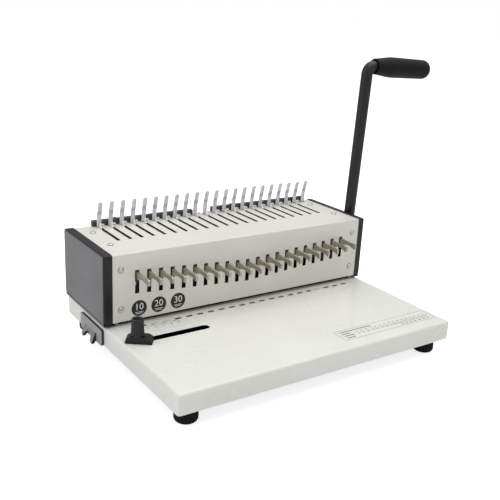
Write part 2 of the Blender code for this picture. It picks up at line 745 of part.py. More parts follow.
def drive_cam(side, sign, axis):
    """Cam that presses the bar, cast with the lever that drives the hook rake."""
    cam_x = sorted((sign * CAM_X[0], sign * CAM_X[1]))
    lever_x = sorted((sign * LEVER_X[0], sign * LEVER_X[1]))
    thickness = cam_x[1] - cam_x[0]
    cam = part(side + "_drive_cam", outline_mesh(cam_outline(), thickness, "X", cam_x[0]), STEEL, axis)
    tip = Vector((LEVER_LENGTH * math.cos(LEVER_START), LEVER_LENGTH * math.sin(LEVER_START)))
    place = (SHAFT_Y + tip.x, SHAFT_Z + tip.y)
    angle = math.degrees(LEVER_START)
    lever = arc(place, 2 * LEVER_PIN_RADIUS, angle - 90, angle + 90, 6)
    lever += arc((SHAFT_Y, SHAFT_Z), CAM_HUB_RADIUS, angle + 60, angle + 300, 10)
    overlap = 0.0005
    lever_start = lever_x[0] - (overlap if sign > 0 else 0)
    lever_thick = lever_x[1] - lever_x[0] + overlap
    boolean(cam, outline_mesh(lever, lever_thick, "X", lever_start), "UNION")
    pin_x = sorted((sign * (RAKE_X - RAKE_LUG - 2 * GAP), sign * (LEVER_X[0] + overlap)))
    pin = cylinder_mesh("X", (pin_x[0], *place), LEVER_PIN_RADIUS, pin_x[1] - pin_x[0], 12)
    boolean(cam, pin, "UNION")
    start = (-2 * LEVER_X[1], SHAFT_Y, SHAFT_Z)
    boolean(cam, cylinder_mesh("X", start, SHAFT_RADIUS + GAP, 4 * LEVER_X[1]))


def return_spring():
    """Torsion spring wound round the shaft; it lifts the handle back up."""
    wire = 0.0008
    radius = SHAFT_RADIUS + GAP + wire
    turns = 5
    around = 10
    start_x = -0.135
    pitch = 2 * wire + 2 * GAP
    points = []
    for step in range(turns * around + 1):
        turn = 2 * math.pi * step / around
        x = start_x + pitch * step / around
        points.append((x, SHAFT_Y + radius * math.cos(turn), SHAFT_Z + radius * math.sin(turn)))
    points.insert(0, (start_x, SHAFT_Y + radius, SHAFT_Z - 0.02))
    part("return_spring", tube_mesh(points, wire, 1), STEEL)


def hook_rake(axis):
    """Sliding plate with a hook in every deck slot and a slotted lug at each end."""
    rake = part("hook_rake", box_mesh(((-RAKE_X, RAKE_X), RAKE_Y, RAKE_Z)), NICKEL, axis)
    pin_y = SHAFT_Y + LEVER_LENGTH * math.cos(LEVER_START)
    pin_low = SHAFT_Z + LEVER_LENGTH * math.sin(LEVER_START)
    lugs = []
    slots = []
    for sign in (-1, 1):
        across = sorted((sign * (RAKE_X - RAKE_LUG), sign * RAKE_X))
        lugs.append((across, (pin_y - 0.0065, RAKE_Y[1] - GAP), (RAKE_LUG_LOW, RAKE_Z[1] - GAP)))
        wide = (across[0] - GAP, across[1] + GAP)
        half = LEVER_PIN_RADIUS + 0.001
        slot_high = SHAFT_Z + LEVER_LENGTH + LEVER_PIN_RADIUS + 2 * GAP
        slots.append((wide, (pin_y - half, pin_y + half), (pin_low - LEVER_PIN_RADIUS - 2 * GAP, slot_high)))
    boolean(rake, box_mesh(*lugs), "UNION")
    boolean(rake, box_mesh(*slots))
    top = COVER_TOP + HOOK_RISE
    half = HOOK_WIDTH / 2
    hook = [(RAKE_Z[0] + GAP, -half), (RAKE_Z[0] + GAP, half), (top - HOOK_WIDTH * 1.6, half)]
    hook += [(top - HOOK_WIDTH * 1.2, HOOK_TONGUE), (top - GAP, HOOK_TONGUE), (top, half), (top, -half)]
    mesh = outline_mesh(hook, HOOK_DEPTH, "Y", HOOK_Y - HOOK_DEPTH / 2)
    boolean(rake, merged(*[moved(mesh, (slot_x(index), 0, 0)) for index in SLOTS]), "UNION")


def finger_mesh():
    """One upright finger: a strip with a round top that leans and curls forward."""
    rows = 8
    foot = STRIP_TOP - FINGER_THICKNESS
    top = COVER_TOP + FINGER_RISE
    shape = bmesh.new()
    bmesh.ops.create_grid(shape, x_segments=1, y_segments=rows, size=0.5)
    radius = FINGER_WIDTH / 2
    straight = 5
    for vert in shape.verts:
        row = round((vert.co.y + 0.5) * rows)
        if row <= straight:
            height = foot + (top - radius - foot) * row / straight
            half = radius
        else:
            turn = math.radians(80 * (row - straight) / (rows - straight))
            height = top - radius + radius * math.sin(turn)
            half = radius * math.cos(turn)
        rise = max(0.0, height - COVER_TOP) / FINGER_RISE
        lean = FINGER_LEAN * (1.15 * rise - 0.15 * math.sin(math.pi * rise) - 0.15 * rise ** 3)
        vert.co = Vector((math.copysign(half, vert.co.x), FINGER_Y - lean, height))
    item = bpy.data.objects.new("finger", to_mesh(shape))
    CUTTERS.objects.link(item)
    sheet = item.modifiers.new("sheet", "SOLIDIFY")
    sheet.thickness = FINGER_THICKNESS
    sheet.offset = 0
    return evaluated_mesh(item)


def fixed_comb():
    """The comb of upright fingers, bent up from one strip on the rear beam."""
    half = FINGER_THICKNESS / 2
    right = slot_x(HOLE_COUNT) + FINGER_WIDTH / 2
    strip_y = (FINGER_Y - half, FINGER_Y + half)
    comb = part("fixed_comb", box_mesh(((-right, right), strip_y, (COMB_STRIP_LOW, STRIP_TOP))), CHROME)
    finger = finger_mesh()
    fingers = [moved(finger, (slot_x(index), 0, 0)) for index in range(HOLE_COUNT + 1)]
    boolean(comb, merged(*fingers), "UNION")
    notches = []
    for sign in (-1, 1):
        across = sorted((sign * (RAIL_X[0] - GAP), sign * (RAIL_X[1] + GAP)))
        deep = (FINGER_Y - FINGER_THICKNESS, FINGER_Y + FINGER_THICKNESS)
        notches.append((across, deep, (COMB_STRIP_LOW - GAP, RAKE_Z[0])))
    boolean(comb, box_mesh(*notches))
    smooth(comb)


def comb_bars():
    """Dark backing bars behind the fingers, each held by two pegs."""
    front = FINGER_Y + FINGER_THICKNESS / 2 + 4 * GAP
    low = COVER_TOP + GAP
    names = ("left_comb_bar", "right_comb_bar")
    for name, span, pegs in zip(names, COMB_BAR_SPANS, COMB_BAR_PEGS):
        spans = (span, (front, front + COMB_BAR_DEPTH), (low, low + COMB_BAR_HEIGHT))
        bar = part(name, box_mesh(spans), BLACK)
        middle = front + COMB_BAR_DEPTH / 2
        peg_low = low + COMB_BAR_HEIGHT / 2
        pins = [cylinder_mesh("Z", (x, middle, peg_low), *COMB_PEG, 12) for x in pegs]
        boolean(bar, merged(*pins), "UNION")


# --- Handle ----------------------------------------------------------------------------------
def handle_point(x, reach):
    """A point on the arm's leaning line, reach metres from the shaft."""
    return Vector((x, SHAFT_Y - reach * math.sin(ARM_LEAN), SHAFT_Z + reach * math.cos(ARM_LEAN)))


def grip_frame():
    """Places the grip's own axis: its Z runs outward along the bent end of the arm."""
    corner = handle_point(ARM_X, ARM_LENGTH)
    along = grip_direction()
    turn = along.to_track_quat("Z", "Y").to_matrix().to_4x4()
    return Matrix.Translation(corner) @ turn


def grip_direction():
    up = handle_point(0, 1) - handle_point(0, 0)
    return Vector((math.cos(GRIP_TILT), 0, 0)) - up * math.sin(GRIP_TILT)


def handle_arm(axis):
    """Bent steel bar welded to a round hub that is fixed on the shaft's end."""
    corner = handle_point(ARM_X, ARM_LENGTH)
    up = (corner - handle_point(ARM_X, 0)).normalized()
    along = grip_direction()
    center = corner - up * ARM_BEND + along * ARM_BEND
    points = [handle_point(ARM_X, 0), handle_point(ARM_X, ARM_LENGTH - ARM_BEND)]
    bend_steps = 7
    for step in range(1, bend_steps):
        turn = math.radians(90 * step / bend_steps)
        points.append(center + up * ARM_BEND * math.sin(turn) - along * ARM_BEND * math.cos(turn))
    grip_length = GRIP_TO - ARM_X
    points += [corner + along * ARM_BEND, corner + along * (grip_length - GRIP_SOLID - GAP)]
    arm = part("handle_arm", tube_mesh(points, ARM_RADIUS, 4), BLACK, axis)
    hub_start = (CAP_OUTER + 2 * GAP, SHAFT_Y, SHAFT_Z)
    boolean(arm, cylinder_mesh("X", hub_start, HUB_RADIUS, HUB_LENGTH, 32), "UNION")
    shaft_end = ARM_X + ARM_RADIUS / 2 + GAP
    hole_start = (CAP_INNER, SHAFT_Y, SHAFT_Z)
    boolean(arm, cylinder_mesh("X", hole_start, SHAFT_RADIUS + GAP, shaft_end - CAP_INNER))
    smooth(arm)


def handle_grip(axis):
    """Moulded hand grip, open at its inner end and domed at its outer end."""
    start = GRIP_FROM - ARM_X
    length = (GRIP_TO - GRIP_FROM) / math.cos(GRIP_TILT)
    end = start + length
    dome = GRIP_DOME
    outer = [(0, end)]
    last = GRIP_RADII[-1][1]
    for step in range(1, 5):
        turn = math.radians(90 * step / 5)
        outer.append((last * math.sin(turn), end - dome + dome * math.cos(turn)))
    for share, radius in reversed(GRIP_RADII):
        outer.append((radius, start + length * share))
    bore = ARM_RADIUS + 2 * GAP
    depth = length - GRIP_SOLID
    profile = outer + [(bore, start), (bore, start + depth), (0, start + depth)]
    mesh = turned_mesh(profile, 24)
    mesh.transform(grip_frame())
    smooth(part("handle_grip", mesh, RUBBER, axis), 50)


# --- Edge guide --------------------------------------------------------------------------------
def edge_guide(slide_axis, block_axis, knob_axis):
    """Paper edge guide: a block that turns on a stud, held in the base slot by a knob."""
    under = -BASE_SHEET - GAP
    length, depth, height = GUIDE_BLOCK
    block_top = GAP + height
    knob_low = block_top + GAP
    center = Vector((GUIDE_X, GUIDE_SLOT_Y, 0))
    nut = STUD_HEAD_RADIUS
    stud_top = knob_low + KNOB_HEIGHT * 0.6
    stud_profile = [(0, stud_top), (STUD_RADIUS, stud_top), (STUD_RADIUS, under)]
    stud_profile += [(nut, under), (nut, under - 0.003), (0, under - 0.003)]
    smooth(part("guide_stud", moved(turned_mesh(stud_profile, 16), center), STEEL, slide_axis))
    half = length / 2
    side = [(-half, GAP), (half, GAP), (half, GAP + GUIDE_SHOULDER), (GUIDE_TOP_LENGTH / 2, block_top)]
    side += [(-GUIDE_TOP_LENGTH / 2, block_top), (-half, GAP + GUIDE_SHOULDER)]
    side = [(z, x + GUIDE_BLOCK_OFFSET) for x, z in side]
    mesh = outline_mesh(side, depth, "Y", -depth / 2)
    mesh.transform(Matrix.Translation(center) @ Matrix.Rotation(GUIDE_TURN, 4, "Z"))
    block = part("guide_block", mesh, CHARCOAL, block_axis)
    boolean(block, cylinder_mesh("Z", center - Vector((0, 0, height)), STUD_RADIUS + GAP, 3 * height, 16))
    top = knob_low + KNOB_HEIGHT
    rim = KNOB_RADIUS * 0.97
    profile = [(0, top - 0.0018), (rim * 0.62, top - 0.0018), (rim * 0.74, top), (rim * 0.92, top)]
    profile += [(rim, top - 0.0008), (KNOB_RADIUS, knob_low), (STUD_RADIUS + GAP, knob_low)]
    profile += [(STUD_RADIUS + GAP, stud_top + GAP), (0, stud_top + GAP)]
    smooth(part("guide_knob", moved(turned_mesh(profile, 24), center), BLACK, knob_axis))


# --- Chip drawer --------------------------------------------------------------------------------
def chip_drawer(axis):
    """Long tray for the punched chips, with a front plate and an arched finger pull."""
    floor = -BASE_HEIGHT + BOTTOM_SHEET + GAP
    inner_left = -(BASE_HALF + GAP)
    tray = box_mesh(((inner_left - DRAWER_FRONT / 2, DRAWER_RIGHT), DRAWER_Y, (floor, DRAWER_TOP)))
    drawer = part("chip_drawer", tray, CHARCOAL, axis)
    boolean(drawer, box_mesh((
        (inner_left + DRAWER_WALL, DRAWER_RIGHT - DRAWER_WALL),
        (DRAWER_Y[0] + DRAWER_WALL, DRAWER_Y[1] - DRAWER_WALL),
        (floor + DRAWER_WALL, DRAWER_TOP + DRAWER_WALL),
    )))
    boolean(drawer, box_mesh(((DRAWER_OUTER_X, inner_left), DRAWER_FRONT_Y, DRAWER_FRONT_Z)), "UNION")
    face = DRAWER_OUTER_X + DRAWER_FRONT / 2
    low = DRAWER_FRONT_Z[0] - PULL_DROP
    high = DRAWER_FRONT_Z[1] - 0.005
    hood = [(low, LEFT_EXTENT), (low, LEFT_EXTENT + 0.0025), (low + PULL_DROP + 0.001, face)]
    hood += [(high, face), (high - 0.004, DRAWER_OUTER_X - 0.001), (low + 0.003, LEFT_EXTENT)]
    middle = (DRAWER_FRONT_Y[0] + DRAWER_FRONT_Y[1]) / 2
    boolean(drawer, outline_mesh(hood, PULL_WIDTH, "Y", middle - PULL_WIDTH / 2), "UNION")
    start = (LEFT_EXTENT - 0.001, middle, low - 0.001)
    arch = cylinder_mesh("X", start, PULL_ARCH, PULL_REACH + 0.001)
    boolean(drawer, arch)


# --- The machine ----------------------------------------------------------------------------------
def build():
    press_axis = axis_empty("press_axis", (0, PUNCH_Y, PRESS_Z[0]))
    handle_axis = axis_empty("handle_axis", SHAFT)
    rake_axis = axis_empty("rake_axis", (0, HOOK_Y, RAKE_Z[0]))
    slide_axis = axis_empty("guide_slide_axis", (GUIDE_X, GUIDE_SLOT_Y, 0))
    block_axis = axis_empty("guide_block_axis", (GUIDE_X, GUIDE_SLOT_Y, 0), slide_axis)
    knob_axis = axis_empty("guide_knob_axis", (GUIDE_X, GUIDE_SLOT_Y, 0), slide_axis)
    drawer_axis = axis_empty("drawer_axis", (-BASE_HALF, sum(DRAWER_Y) / 2, DRAWER_TOP))
    base_tray()
    bottom_plate()
    feet()
    housing_cover()
    screws()
    for side, sign in (("left", -1), ("right", 1)):
        end_cap(side, sign)
        side_plate(side, sign)
        shaft_bush(side, sign)
        drive_cam(side, sign, handle_axis)
    rear_beam()
    die_plate()
    stripper_plate()
    press_bar(press_axis)
    punch_tabs(press_axis)
    drive_shaft(handle_axis)
    return_spring()
    hook_rake(rake_axis)
    fixed_comb()
    comb_bars()
    handle_arm(handle_axis)
    handle_grip(handle_axis)
    edge_guide(slide_axis, block_axis, knob_axis)
    chip_drawer(drawer_axis)


build()
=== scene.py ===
"""Desktop comb binding machine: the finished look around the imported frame.

Shapes are laid out in the machine's own datum: X = 0 at the middle slot, Y = 0 at the front
panel's face and Z = 0 at the top of the base. +X is the handle's side, -Y is towards the user.
"""
import math

import bmesh
import bpy
from mathutils import Matrix, Vector


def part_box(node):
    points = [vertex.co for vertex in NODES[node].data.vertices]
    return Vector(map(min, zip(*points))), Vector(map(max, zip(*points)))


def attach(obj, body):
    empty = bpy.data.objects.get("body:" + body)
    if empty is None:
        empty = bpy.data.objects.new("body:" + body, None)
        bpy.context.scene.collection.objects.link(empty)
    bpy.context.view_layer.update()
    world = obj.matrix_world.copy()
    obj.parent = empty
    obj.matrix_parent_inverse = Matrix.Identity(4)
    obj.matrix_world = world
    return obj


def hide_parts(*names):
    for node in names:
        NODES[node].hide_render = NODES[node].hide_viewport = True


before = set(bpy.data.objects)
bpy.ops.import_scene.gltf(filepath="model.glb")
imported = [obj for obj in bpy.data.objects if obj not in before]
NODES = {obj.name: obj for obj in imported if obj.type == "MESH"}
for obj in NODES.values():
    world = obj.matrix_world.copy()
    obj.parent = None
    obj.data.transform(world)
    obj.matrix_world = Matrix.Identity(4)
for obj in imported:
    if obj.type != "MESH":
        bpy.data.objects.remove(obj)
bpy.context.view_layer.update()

# --- Where the frame puts things ---
MIDDLE_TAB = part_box("punch_tab_11")
BASE_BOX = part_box("base_tray")
COVER_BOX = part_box("housing_cover")
DATUM = Vector(((MIDDLE_TAB[0].x + MIDDLE_TAB[1].x) / 2, COVER_BOX[0].y, BASE_BOX[1].z))


def machine_box(node):
    """A node's lowest and highest corners in the machine's datum."""
    low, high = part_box(node)
    return low - DATUM, high - DATUM


SLOT_COUNT = sum(name.startswith("punch_tab_") for name in NODES)
PITCH = (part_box("punch_tab_02")[0].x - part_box("punch_tab_01")[0].x)
BASE_LOW, BASE_HIGH = machine_box("base_tray")
COVER_LOW, COVER_HIGH = machine_box("housing_cover")


def slot_x(index):
    return (index - (SLOT_COUNT - 1) / 2) * PITCH


UPRIGHT = Matrix.Rotation(math.radians(90), 4, "X")
SIDEWAYS = Matrix.Rotation(math.radians(90), 4, "Y")


# --- Mesh tools ---
def mesh_from(shape, name):
    mesh = bpy.data.meshes.new(name)
    shape.to_mesh(mesh)
    shape.free()
    return mesh


def settled(item):
    """The item's mesh with its modifiers applied; the helper item goes."""
    graph = bpy.context.evaluated_depsgraph_get()
    mesh = bpy.data.meshes.new_from_object(item.evaluated_get(graph))
    bpy.data.objects.remove(item, do_unlink=True)
    shape = bmesh.new()
    shape.from_mesh(mesh)
    bmesh.ops.remove_doubles(shape, verts=shape.verts, dist=1e-7)
    bmesh.ops.recalc_face_normals(shape, faces=shape.faces)
    return mesh_from(shape, mesh.name)


def helper(name, data):
    item = bpy.data.objects.new(name, data)
    bpy.context.scene.collection.objects.link(item)
    return item


def rounded(item, width, segments=2, angle=32):
    """Real rounded edges and even shading over the flats."""
    step = item.modifiers.new("rounding", "BEVEL")
    step.width = width
    step.segments = segments
    step.limit_method = "ANGLE"
    step.angle_limit = math.radians(angle)
    step.harden_normals = False
    item.data.shade_smooth()
    even = item.modifiers.new("even_shading", "WEIGHTED_NORMAL")
    even.keep_sharp = True
    even.weight = 80


def smooth(item, angle=38):
    item.data.shade_smooth()
    item.data.set_sharp_from_angle(angle=math.radians(angle))


def box_shape(shape, spans):
    size = Vector([high - low for low, high in spans])
    middle = Vector([(high + low) / 2 for low, high in spans])
    place = Matrix.Translation(middle) @ Matrix.Diagonal((*size, 1))
    return bmesh.ops.create_cube(shape, size=1.0, matrix=place)["verts"]


def boxes_mesh(name, boxes):
    shape = bmesh.new()
    for spans in boxes:
        box_shape(shape, spans)
    return mesh_from(shape, name)


def plate_mesh(name, outline, low, high, axis="Z", holes=()):
    """Flat outlines extruded from low to high along an axis; the outline lies across it."""
    curve = bpy.data.curves.new(name, "CURVE")
    curve.dimensions = "2D"
    curve.fill_mode = "BOTH"
    curve.extrude = (high - low) / 2
    for ring in (outline, *holes):
        line = curve.splines.new("POLY")
        line.points.add(len(ring) - 1)
        for point, (u, v) in zip(line.points, ring):
            point.co = (u, v, 0, 1)
        line.use_cyclic_u = True
    mesh = settled(helper(name, curve))
    turn = {
        "X": Matrix(((0, 0, 1, 0), (1, 0, 0, 0), (0, 1, 0, 0), (0, 0, 0, 1))),
        "Y": Matrix(((0, 1, 0, 0), (0, 0, 1, 0), (1, 0, 0, 0), (0, 0, 0, 1))),
        "Z": Matrix.Identity(4),
    }[axis]
    mesh.transform(turn @ Matrix.Translation((0, 0, (low + high) / 2)))
    return mesh


def wire_mesh(name, points, radius, roundness):
    """A round bar along the points, with closed ends."""
    curve = bpy.data.curves.new(name, "CURVE")
    curve.dimensions = "3D"
    curve.bevel_depth = radius
    curve.bevel_resolution = roundness
    curve.use_fill_caps = True
    line = curve.splines.new("POLY")
    line.points.add(len(points) - 1)
    for point, place in zip(line.points, points):
        point.co = (*place, 1)
    return settled(helper(name, curve))


def turned_mesh(name, profile, steps=48, ripple=None):
    """A turned shape about Z from (radius, height) pairs; ripple(angle, row) moves a radius."""
    shape = bmesh.new()
    rings = []
    for row, (radius, height) in enumerate(profile):
        if radius < 1e-9:
            rings.append([shape.verts.new((0, 0, height))])
            continue
        ring = []
        for step in range(steps):
            angle = 2 * math.pi * step / steps
            reach = radius + (ripple(angle, row) if ripple else 0)
            ring.append(shape.verts.new((reach * math.cos(angle), reach * math.sin(angle), height)))
        rings.append(ring)
    for upper, lower in zip(rings, rings[1:]):
        for step in range(steps):
            after = (step + 1) % steps
            corners = [upper[step % len(upper)], lower[step % len(lower)]]
            corners += [lower[after % len(lower)], upper[after % len(upper)]]
            corners = list(dict.fromkeys(corners))
            if len(corners) > 2:
                shape.faces.new(corners)
    bmesh.ops.recalc_face_normals(shape, faces=shape.faces)
    return mesh_from(shape, name)


def arc(center, radius, start, end, steps):
    angles = [math.radians(start + (end - start) * i / steps) for i in range(steps + 1)]
    return [(center[0] + radius * math.cos(a), center[1] + radius * math.sin(a)) for a in angles]


def rounded_rectangle(x, y, radius, steps=5):
    """Outline of a rectangle with round corners; x and y are (low, high) pairs."""
    low_x, high_x = x[0] + radius, x[1] - radius
    low_y, high_y = y[0] + radius, y[1] - radius
    outline = arc((high_x, high_y), radius, 0, 90, steps)
    outline += arc((low_x, high_y), radius, 90, 180, steps)
    outline += arc((low_x, low_y), radius, 180, 270, steps)
    outline += arc((high_x, low_y), radius, 270, 360, steps)
    return outline


def eased(points, count):
    """Even points on a smooth curve through the given ones."""
    result = []
    spans = len(points) - 1
    for step in range(count + 1):
        place = min(step / count * spans, spans - 1e-9)
        index = int(place)
        share = place - index
        p0 = points[max(index - 1, 0)]
        p1 = points[index]
        p2 = points[index + 1]
        p3 = points[min(index + 2, spans)]
        result.append(tuple(
            0.5 * (2 * b + (c - a) * share + (2 * a - 5 * b + 4 * c - d) * share ** 2
                   + (3 * b - a - 3 * c + d) * share ** 3)
            for a, b, c, d in zip(p0, p1, p2, p3)
        ))
    return result


def cut(item, mesh, operation="DIFFERENCE"):
    """Boolean with a mesh given in the item's own space, applied at once."""
    tool = helper("tool", mesh)
    tool.matrix_world = item.matrix_world
    step = item.modifiers.new("cut", "BOOLEAN")
    step.operation = operation
    step.solver = "EXACT"
    step.use_self = True
    step.object = tool
    bpy.context.view_layer.update()
    graph = bpy.context.evaluated_depsgraph_get()
    mesh = bpy.data.meshes.new_from_object(item.evaluated_get(graph))
    assert mesh.polygons, item.name + " is empty after its cut"
    item.modifiers.remove(step)
    item.data = mesh
    bpy.data.objects.remove(tool, do_unlink=True)


# --- Pieces ---
def piece(name, mesh, finish, body="root", stands_for=(), turn=None):
    """A finished piece laid out in the machine's datum, riding on one body of the frame."""
    mesh.name = name
    made = helper(name, mesh)
    made.matrix_world = Matrix.Translation(DATUM) @ (turn or Matrix.Identity(4))
    mesh.materials.clear()
    mesh.materials.append(finish)
    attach(made, body)
    if stands_for:
        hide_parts(*stands_for)
    return made


def clean_copy(node):
    """The node's shape with its triangles welded into whole flats, in the machine's datum."""
    source = NODES[node].data
    shape = bmesh.new()
    corners = [shape.verts.new(vert.co - DATUM) for vert in source.vertices]
    for face in source.polygons:
        shape.faces.new([corners[index] for index in face.vertices])
    bmesh.ops.remove_doubles(shape, verts=shape.verts, dist=2e-6)
    bmesh.ops.dissolve_limit(shape, angle_limit=math.radians(0.4), verts=shape.verts,
                             edges=shape.edges, delimit=set())
    bmesh.ops.recalc_face_normals(shape, faces=shape.faces)
    return mesh_from(shape, node + "_finish")


def refined(node, finish, width, body="root", segments=2, angle=32):
    """The node's own shape with rounded edges and its finish."""
    made = piece(node + "_finished", clean_copy(node), finish, body, (node,))
    rounded(made, width, segments, angle)
    return made


def trimmed(node, height):
    """The node's clean shape below a height, and the open rim that the cut leaves."""
    shape = bmesh.new()
    shape.from_mesh(clean_copy(node))
    done = bmesh.ops.bisect_plane(
        shape, geom=shape.verts[:] + shape.edges[:] + shape.faces[:],
        plane_co=(0, 0, height), plane_no=(0, 0, 1), clear_outer=True,
    )
    return shape, [item for item in done["geom_cut"] if isinstance(item, bmesh.types.BMEdge)]


# --- Shader tools ---
class Graph:
    """Adds nodes to a tree with their settings and links in one call."""

    def __init__(self, tree):
        self.tree = tree

    def add(self, kind, settings=None, **sockets):
        node = self.tree.nodes.new(kind)
        for key, value in (settings or {}).items():
            setattr(node, key, value)
        for key, value in sockets.items():
            socket = node.inputs[int(key[1:])] if key[1:].isdigit() else node.inputs[key.replace("_", " ")]
            if isinstance(value, bpy.types.NodeSocket):
                self.tree.links.new(value, socket)
            else:
                socket.default_value = value
        return node

    def axes(self, vector):
        return self.add("ShaderNodeSeparateXYZ", None, Vector=vector).outputs

    def send(self, value, node, socket):
        self.tree.links.new(value, node.inputs[socket])

    def math(self, operation, first, second=0.0):
        return self.add("ShaderNodeMath", {"operation": operation}, i0=first, i1=second).outputs[0]

    def span(self, value, low, high, new_low=0.0, new_high=1.0):
        """Maps low..high of a value to new_low..new_high, held at the ends."""
        node = self.add("ShaderNodeMapRange", {"interpolation_type": "SMOOTHSTEP"}, Value=value)
        node.inputs["From Min"].default_value = low
        node.inputs["From Max"].default_value = high
        node.inputs["To Min"].default_value = new_low
        node.inputs["To Max"].default_value = new_high
        return node.outputs[0]

    def blend(self, factor, first, second):
        """Colour between first and second."""
        return self.add("ShaderNodeMix", {"data_type": "RGBA"}, i0=factor, i6=first, i7=second).outputs[2]

    def noise(self, vector, scale, detail=2.0, roughness=0.5):
        node = self.add("ShaderNodeTexNoise", None, Vector=vector, Detail=detail, Roughness=roughness)
        if isinstance(scale, bpy.types.NodeSocket):
            self.send(scale, node, "Scale")
        else:
            node.inputs["Scale"].default_value = scale
        return node.outputs["Fac"]


def effect(name, inputs, outputs):
    """An empty shader group with named sockets; returns its graph, inputs and output node."""
    tree = bpy.data.node_groups.new(name, "ShaderNodeTree")
    for title, kind, value in inputs:
        socket = tree.interface.new_socket(title, in_out="INPUT", socket_type=kind)
        if value is not None:
            socket.default_value = value
    for title, kind in outputs:
        tree.interface.new_socket(title, in_out="OUTPUT", socket_type=kind)
    graph = Graph(tree)
    return graph, graph.add("NodeGroupInput").outputs, graph.add("NodeGroupOutput")


FLOAT, COLOR, VECTOR = "NodeSocketFloat", "NodeSocketColor", "NodeSocketVector"


def tone_drift():
    """Slow change between two close colours, as a coat or a moulding really has."""
    graph, given, out = effect(
        "Tone drift",
        [("Vector", VECTOR, None), ("Main", COLOR, None), ("Other", COLOR, None), ("Size", FLOAT, 0.05)],
        [("Color", COLOR)],
    )
    scale = graph.math("DIVIDE", 1.0, given["Size"])
    slow = graph.span(graph.noise(given["Vector"], scale, 3.0, 0.55), 0.3, 0.7)
    graph.send(graph.blend(slow, given["Main"], given["Other"]), out, "Color")
    return graph.tree


def fine_grain():
    """Small even bumps: orange peel on paint, spark texture on a moulding, cast rubber."""
    graph, given, out = effect(
        "Fine grain",
        [("Vector", VECTOR, None), ("Size", FLOAT, 0.001), ("Sharpness", FLOAT, 0.5)],
        [("Height", FLOAT), ("Fleck", FLOAT)],
    )
    scale = graph.math("DIVIDE", 1.0, given["Size"])
    soft = graph.noise(given["Vector"], scale, 2.0, 0.5)
    cells = graph.add("ShaderNodeTexVoronoi", {"feature": "SMOOTH_F1"}, Vector=given["Vector"])
    graph.send(scale, cells, "Scale")
    crisp = graph.math("SUBTRACT", 1.0, cells.outputs["Distance"])
    mix = graph.add("ShaderNodeMix", {"data_type": "FLOAT"}, i0=given["Sharpness"], i2=soft, i3=crisp)
    graph.send(mix.outputs[0], out, "Height")
    fleck = graph.span(graph.noise(given["Vector"], graph.math("MULTIPLY", scale, 0.7), 1.0), 0.62, 0.72)
    graph.send(fleck, out, "Fleck")
    return graph.tree


def handling_marks():
    """Faint wiped patches and fine dust: a mask, and a roughness that follows it."""
    graph, given, out = effect(
        "Handling marks",
        [("Vector", VECTOR, None), ("Roughness", FLOAT, 0.4), ("Change", FLOAT, 0.06)],
        [("Mask", FLOAT), ("Roughness", FLOAT)],
    )
    patches = graph.span(graph.noise(given["Vector"], 22.0, 4.0, 0.6), 0.42, 0.68)
    dust = graph.span(graph.noise(given["Vector"], 700.0, 2.0, 0.7), 0.6, 0.75)
    mask = graph.math("MAXIMUM", graph.math("MULTIPLY", patches, 0.7), graph.math("MULTIPLY", dust, 0.5))
    graph.send(mask, out, "Mask")
    shift = graph.math("MULTIPLY", mask, given["Change"])
    graph.send(graph.math("ADD", given["Roughness"], shift), out, "Roughness")
    return graph.tree


def brush_lines():
    """Fine parallel lines from rolling or grinding; stretch is small along the lines."""
    graph, given, out = effect(
        "Brush lines",
        [("Vector", VECTOR, None), ("Stretch", VECTOR, (1.0, 1.0, 1.0)), ("Size", FLOAT, 0.0004)],
        [("Lines", FLOAT)],
    )
    place = graph.add("ShaderNodeVectorMath", {"operation": "MULTIPLY"},
                      i0=given["Vector"], i1=given["Stretch"])
    scale = graph.math("DIVIDE", 1.0, given["Size"])
    lines = graph.noise(place.outputs[0], scale, 3.0, 0.65)
    graph.send(graph.span(lines, 0.25, 0.75), out, "Lines")
    return graph.tree


def edge_wear():
    """Where an edge is rubbed: 1 along outer edges, broken up by noise."""
    graph, given, out = effect(
        "Edge wear",
        [("Vector", VECTOR, None), ("Width", FLOAT, 0.0006), ("Break up", FLOAT, 0.5)],
        [("Mask", FLOAT)],
    )
    plain = graph.add("ShaderNodeNewGeometry").outputs["Normal"]
    round_off = graph.add("ShaderNodeBevel", {"samples": 4}, Radius=given["Width"])
    facing = graph.add("ShaderNodeVectorMath", {"operation": "DOT_PRODUCT"},
                       i0=plain, i1=round_off.outputs[0])
    edge = graph.span(facing.outputs["Value"], 0.985, 0.90)
    rub = graph.span(graph.noise(given["Vector"], 160.0, 4.0, 0.65), 0.35, 0.65)
    broken = graph.add("ShaderNodeMix", {"data_type": "FLOAT"}, i0=given["Break up"], i2=1.0, i3=rub)
    graph.send(graph.math("MULTIPLY", edge, broken.outputs[0]), out, "Mask")
    return graph.tree


TONE_DRIFT = tone_drift()
FINE_GRAIN = fine_grain()
HANDLING_MARKS = handling_marks()
BRUSH_LINES = brush_lines()
EDGE_WEAR = edge_wear()


